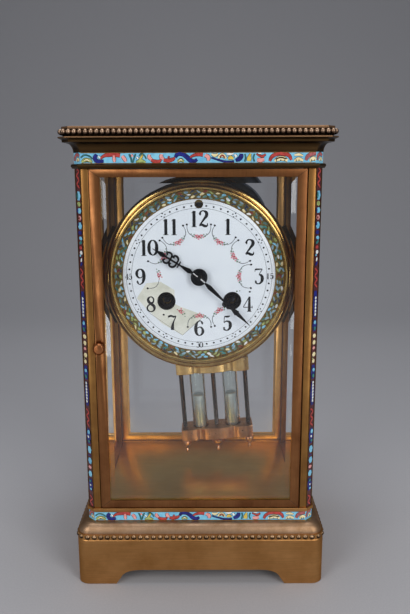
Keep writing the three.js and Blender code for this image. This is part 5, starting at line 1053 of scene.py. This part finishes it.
minute_reach = [
    [(0, 4.6, 0.45), (0, 8.5, 1.4), (0, 14.0, 1.05), (0, 19.5, 0.6), (0, 26.5, 0.55)],
    [(0, 26.0, 0.5), (0, 30.0, 1.5), (0, 36.0, 0.8), (0, 42.4, 0.12)],
]
minute_curls = [[(0, 21.0, 0.45), (1.7, 21.3, 0.5), (2.2, 22.8, 0.5), (1.1, 23.8, 0.42)],
                [(0, 24.4, 0.4), (1.5, 24.7, 0.42), (1.6, 25.9, 0.4)]]
for hand, bearing, body, lines, curls, bore in [
        ("hour_hand", 302, "hour_wheel_pair", hour_reach, hour_curls, 3.5),
        ("minute_hand", 134, "centre_arbor", minute_reach, minute_curls, 1.8)]:
    low, high = (corner.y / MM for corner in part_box(hand))
    mid_plane = (low + high) / 2
    sweep_turn = math.radians(bearing)

    def on_hand(across, up, out, mid_plane=mid_plane, sweep_turn=sweep_turn):
        x = across * math.cos(sweep_turn) + up * math.sin(sweep_turn)
        z = up * math.cos(sweep_turn) - across * math.sin(sweep_turn)
        return Vector((x, mid_plane - out + stand_off, dial_height + z))

    mirrored = [[(-x, y, w) for x, y, w in line] for line in curls]
    strokes = [("steel", line) for line in lines + curls + mirrored]
    blade = drawn(hand + "_blade", strokes, on_hand, body, 0.22, hand_black, None)
    eye_section = [(bore, high), (bore, low), (4.6, low), (5.0, low + 0.25), (5.0, high)]
    eye = turned(hand + "_eye", eye_section, dial_middle, steps=48)
    softened(eye, hand_black["steel"], body, 35)
    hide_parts(hand)
# The taper pin through the centre arbor: bright steel, the one light spot on the black hands.
pin_steel = gilt_metal("bright steel", "#F2F3F5", "#D2D5DA", 0.48, (900, 900, 900), 4.0)
pin_turn = math.radians(129)
pin_run = Vector((math.sin(pin_turn), 0, math.cos(pin_turn)))
pin_side = Vector((-pin_run.z, 0, pin_run.x))
pin_middle = Vector((0, -46.4, dial_height))
pin_rings = []
for along, radius in [(-4.6, 0.3), (4.6, 0.5)]:
    ring = [step * math.pi / 5 for step in range(10)]
    pin_rings.append([tuple(pin_middle + pin_run * along + pin_side * radius * math.cos(turn)
                            + Vector((0, radius * math.sin(turn), 0))) for turn in ring])
pin = softened(lofted("taper_pin", pin_rings), pin_steel, "centre_arbor", 50)

# Movement: two round brass plates held apart by pillars, with barrels, wheels and steel arbors between
# them. The plates are grained in one direction and look silky, the wheels are turned and polished and
# look brighter, and the steel is grey with small cold lights.
plate_brass = gilt_metal("straight-grained plate brass", "#B99552", "#96753B", 0.3,
                         (80, 80, 1600), 16.0, 0.06)
wheel_brass = gilt_metal("turned wheel brass", "#C7A460", "#A3803F", 0.24, (900, 60, 900), 5.0, 0.04)
for node in ("front_plate", "back_plate", "suspension_cock"):
    softened(own_copy(node), plate_brass, "case", 30, 0.2)
wheel_bodies = {
    "centre_wheel": "centre_arbor", "going_barrel": "going_barrel_wheel",
    "strike_barrel": "strike_barrel_wheel", "going_intermediate_wheel": "going_intermediate",
    "third_wheel": "third_arbor", "escape_wheel": "escape_arbor", "minute_wheel": "minute_wheel_pair",
    "hour_wheel": "hour_wheel_pair", "strike_intermediate_wheel": "strike_intermediate",
    "pin_wheel": "strike_pin_wheel"}
for node, body in wheel_bodies.items():
    softened(own_copy(node), wheel_brass, body, 38)
steel = gilt_metal("polished steel", "#A9ADB3", "#7D8188", 0.2, (900, 900, 200), 6.0, 0.03)
black_steel_and_hole_shade = gilt_metal("steel dulled to black at the hands", "#34363A", "#1C1D20", 0.32,
                         (600, 600, 600), 2.0)
arbor = bpy.data.objects["fine_centre_wheel"]
arbor.data.materials.append(black_steel_and_hole_shade)
for face in arbor.data.polygons:
    if face.center.y / MM < -36.2:
        face.material_index = 1
steel_bodies = {
    "cannon_pinion": "centre_arbor", "going_winding_arbor": "going_key_arbor",
    "strike_winding_arbor": "strike_key_arbor", "hammer": "strike_hammer",
    "pallet_anchor": "anchor_and_crutch"}
for node, body in steel_bodies.items():
    # The winding arbors' black is painted shade of the winding holes; at the hands the black is the steel's
    # own.
    finish = steel if node in ("hammer", "pallet_anchor") else black_steel_and_hole_shade
    softened(own_copy(node), finish, body, 38, 0.08)
dark_steel = gilt_metal("dark knurled steel", "#3A3A3C", "#1E1E20", 0.4, (1400, 1400, 1400), 1.2, 0.3)
softened(own_copy("regulator_arbor"), dark_steel, "regulator", 38, 0.08)

# Bell: a dome cast in bell metal, turned thin inside and out and held by its crown on a stud behind the back
# plate. It is dull grey from handling, and through the glass it shows as a soft round shade.
bell_metal = gilt_metal("dull grey bell metal", "#8B94A4", "#626B7A", 0.3, (300, 60, 300), 14.0, 0.03)
bell_low, bell_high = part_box("bell")
bell_centre = ((bell_low.x + bell_high.x) / 2 / MM, 0, (bell_low.z + bell_high.z) / 2 / MM)
bell_rim = bell_low.y / MM
bell_curve = [(1.4, 14.0), (8, 13.9), (12, 13.2), (16, 12.1), (20, 10.4), (23.6, 8.2), (26, 6.6),
              (27.8, 4.4), (29.0, 2.2), (29.8, 0.6), (30, 0)]
bell_inner = [(radius - 1.2 if radius > 2 else radius, height - 1.2 if radius < 29 else height)
              for radius, height in reversed(bell_curve)]
bell = turned("turned_bell", [(r, bell_rim + h) for r, h in bell_curve + bell_inner], bell_centre, steps=96)
softened(bell, bell_metal, "case", 40)
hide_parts("bell")

# Pendulum brackets: two scalloped brass plates that hold the rods and tubes, filed and polished, the upper
# one yellow gilt and the lower one copper-toned. Their hollows and lobes show as light and dark bands.
# Every piece of the pendulum is made hanging straight below its pivot and then tilted as the photo shows it.
swing_tilt = Matrix.Rotation(math.radians(-4.3), 4, "Y")
swing_place = Matrix.Translation(Vector((0, 15, 230)) * MM) @ swing_tilt
bracket_gilt = gilt_metal("polished gilding of the upper bracket", "#F4D08C", "#D2A660", 0.3,
                          (900, 900, 60), 7.0, 0.03)
lower_gilt = gilt_metal("copper-toned lower bracket", "#F0BE94", "#CC946A", 0.3, (900, 900, 60), 7.0, 0.03)
bracket_x, bracket_y, tube_across = 25.3, 9.0, 11.5


def scalloped(inset):
    """The bracket's outline: in front and behind, a broad lobe between two hollows and two small lobes."""
    x, y = bracket_x - inset, bracket_y - inset
    waist, lobe, bay = y - 1.4, bracket_x * 0.375, bracket_x * 0.545
    knots = [(-x, -(bay + x) / 2, -bay, -y - 0.6), (-bay, -(lobe + bay) / 2, -lobe, 2.4 - waist),
             (-lobe, 0, lobe, -y - 1.4), (lobe, (lobe + bay) / 2, bay, 2.4 - waist),
             (bay, (bay + x) / 2, x, -y - 0.6)]
    front = [(bowed(start, middle, end, step / 8), bowed(-waist, reach, -waist, step / 8))
             for start, middle, end, reach in knots for step in range(8)]
    front.append((x, -waist))
    return front + [(-across, -deep) for across, deep in front]


for node, low, high, socket, material, slot in [
        ("pendulum_top_bracket", -113.3, -103.6, (-114.3, -109.3), bracket_gilt, "polished_gilt"),
        ("pendulum_bottom_bracket", -162.7, -154.1, (-158.1, -153.1), lower_gilt, "copper_gilt_frames")]:
    bracket = lofted("fine_" + node, [[(x, y, z) for x, y in scalloped(inset)] for z, inset in [
        (low, 0.35), (low + 0.35, 0), (high - 0.35, 0), (high, 0.35)]])
    for side in (-1, 1):
        ring = [(side * tube_across + 5.8 * math.cos(step * math.pi / 24),
                 5.8 * math.sin(step * math.pi / 24)) for step in range(48)]
        cut_away(bracket, lofted("socket", [[(x, y, z) for x, y in ring] for z in socket]))
    bracket.data.transform(swing_place)
    softened(bracket, material, "pendulum", 30)
    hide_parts(node)

# Rods: the pendulum's centre rod and two tie rods, drawn steel gone brown, dark but for one thin upright
# light. Below the lower bracket each ends in a turned finial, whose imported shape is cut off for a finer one.
rod_steel = gilt_metal("browned steel of the rods", "#8A7C74", "#6A5E58", 0.22, (900, 900, 40), 9.0, 0.02)
bracket_foot, tie_across = -162.75, 22.7
for node, across, size in [("pendulum_rod", 0, 1.0), ("tie_rod_left", -tie_across, 0.72),
                           ("tie_rod_right", tie_across, 0.72)]:
    rod = softened(own_copy(node), rod_steel, "pendulum", 50)
    bpy.ops.object.mode_set(mode="EDIT")
    bpy.ops.mesh.select_mode(type="FACE")
    bpy.ops.mesh.select_all(action="DESELECT")
    bpy.ops.object.mode_set(mode="OBJECT")
    for face in rod.data.polygons:
        face.select = (swing_place.inverted() @ face.center).z / MM < bracket_foot - 0.1
    bpy.ops.object.mode_set(mode="EDIT")
    bpy.ops.mesh.delete(type="FACE")
    bpy.ops.mesh.select_mode(type="VERT")
    bpy.ops.object.mode_set(mode="OBJECT")
    finial = turned("finial_of_" + node, [(radius * size, bracket_foot + fall) for radius, fall in [
        (0, -11.9), (0.7, -11.7), (1.3, -10.9), (1.5, -9.9), (1.2, -8.9), (0.9, -8.3), (1.3, -7.7),
        (2.6, -6.6), (3.7, -5.3), (4.15, -4.0), (4.05, -2.8), (3.0, -2.0), (2.1, -1.6), (2.0, -1.2),
        (3.0, -0.9), (3.1, -0.2), (2.9, 0), (0, 0)]], (across, 0, 0), (0, 0, 1), 32)
    finial.data.transform(swing_place)
    softened(finial, lower_gilt, "pendulum", 40)

# Tubes and mercury: two drawn glass jars with rounded feet, standing in the brackets' sockets and a little
# over half full of mercury, which makes up for the rod's growth in warmth. The glass is faintly green; the
# mercury is silver under a thin dull film, so it looks pale and soft rather than like a mirror.
tube_glass = clear_glass("mercury tube glass", "#F4F9F6", 9)
mercury_shine, shader, place = new_finish("mercury")
film = add_node(mercury_shine, "TexNoise", {}, {"Vector": place, "Scale": 220, "Detail": 2})
film_tone = add_node(mercury_shine, "ValToRGB", {}, {"Fac": film.outputs["Fac"]},
                     [(0.35, linear("#DDE1E6")), (0.65, linear("#F6F7F9"))])
feed(mercury_shine, shader, {"Base Color": film_tone.outputs["Color"], "Metallic": 0.8, "Roughness": 0.34})
tube_foot, tube_head, tube_floor, mercury_level = -157.8, -109.6, -155.9, -130.1
tube_section = [
    (0, tube_foot), (3.0, tube_foot), (4.2, tube_foot + 0.4), (5.0, tube_foot + 1.2), (5.4, tube_foot + 2.2),
    (5.5, tube_foot + 3.2), (5.5, tube_head), (4.2, tube_head), (4.2, tube_floor + 2.4),
    (3.8, tube_floor + 1.2), (2.6, tube_floor + 0.4), (0, tube_floor)]
fill_section = [
    (0, tube_floor + 0.2), (2.5, tube_floor + 0.6), (3.7, tube_floor + 1.5), (4.1, tube_floor + 2.6),
    (4.1, mercury_level - 0.9), (3.6, mercury_level - 0.35), (2.6, mercury_level - 0.1), (0, mercury_level)]
for side, offset in [("left", -tube_across), ("right", tube_across)]:
    tube = turned("tube_" + side, tube_section, (offset, 0, 0), (0, 0, 1), 40)
    tube.data.transform(swing_place)
    softened(tube, tube_glass, "pendulum", 40)
    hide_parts("mercury_tube_" + side)
    fill = turned("fill_" + side, fill_section, (offset, 0, 0), (0, 0, 1), 40)
    fill.data.transform(swing_place)
    softened(fill, mercury_shine, "pendulum", 40)
    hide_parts("mercury_" + side)
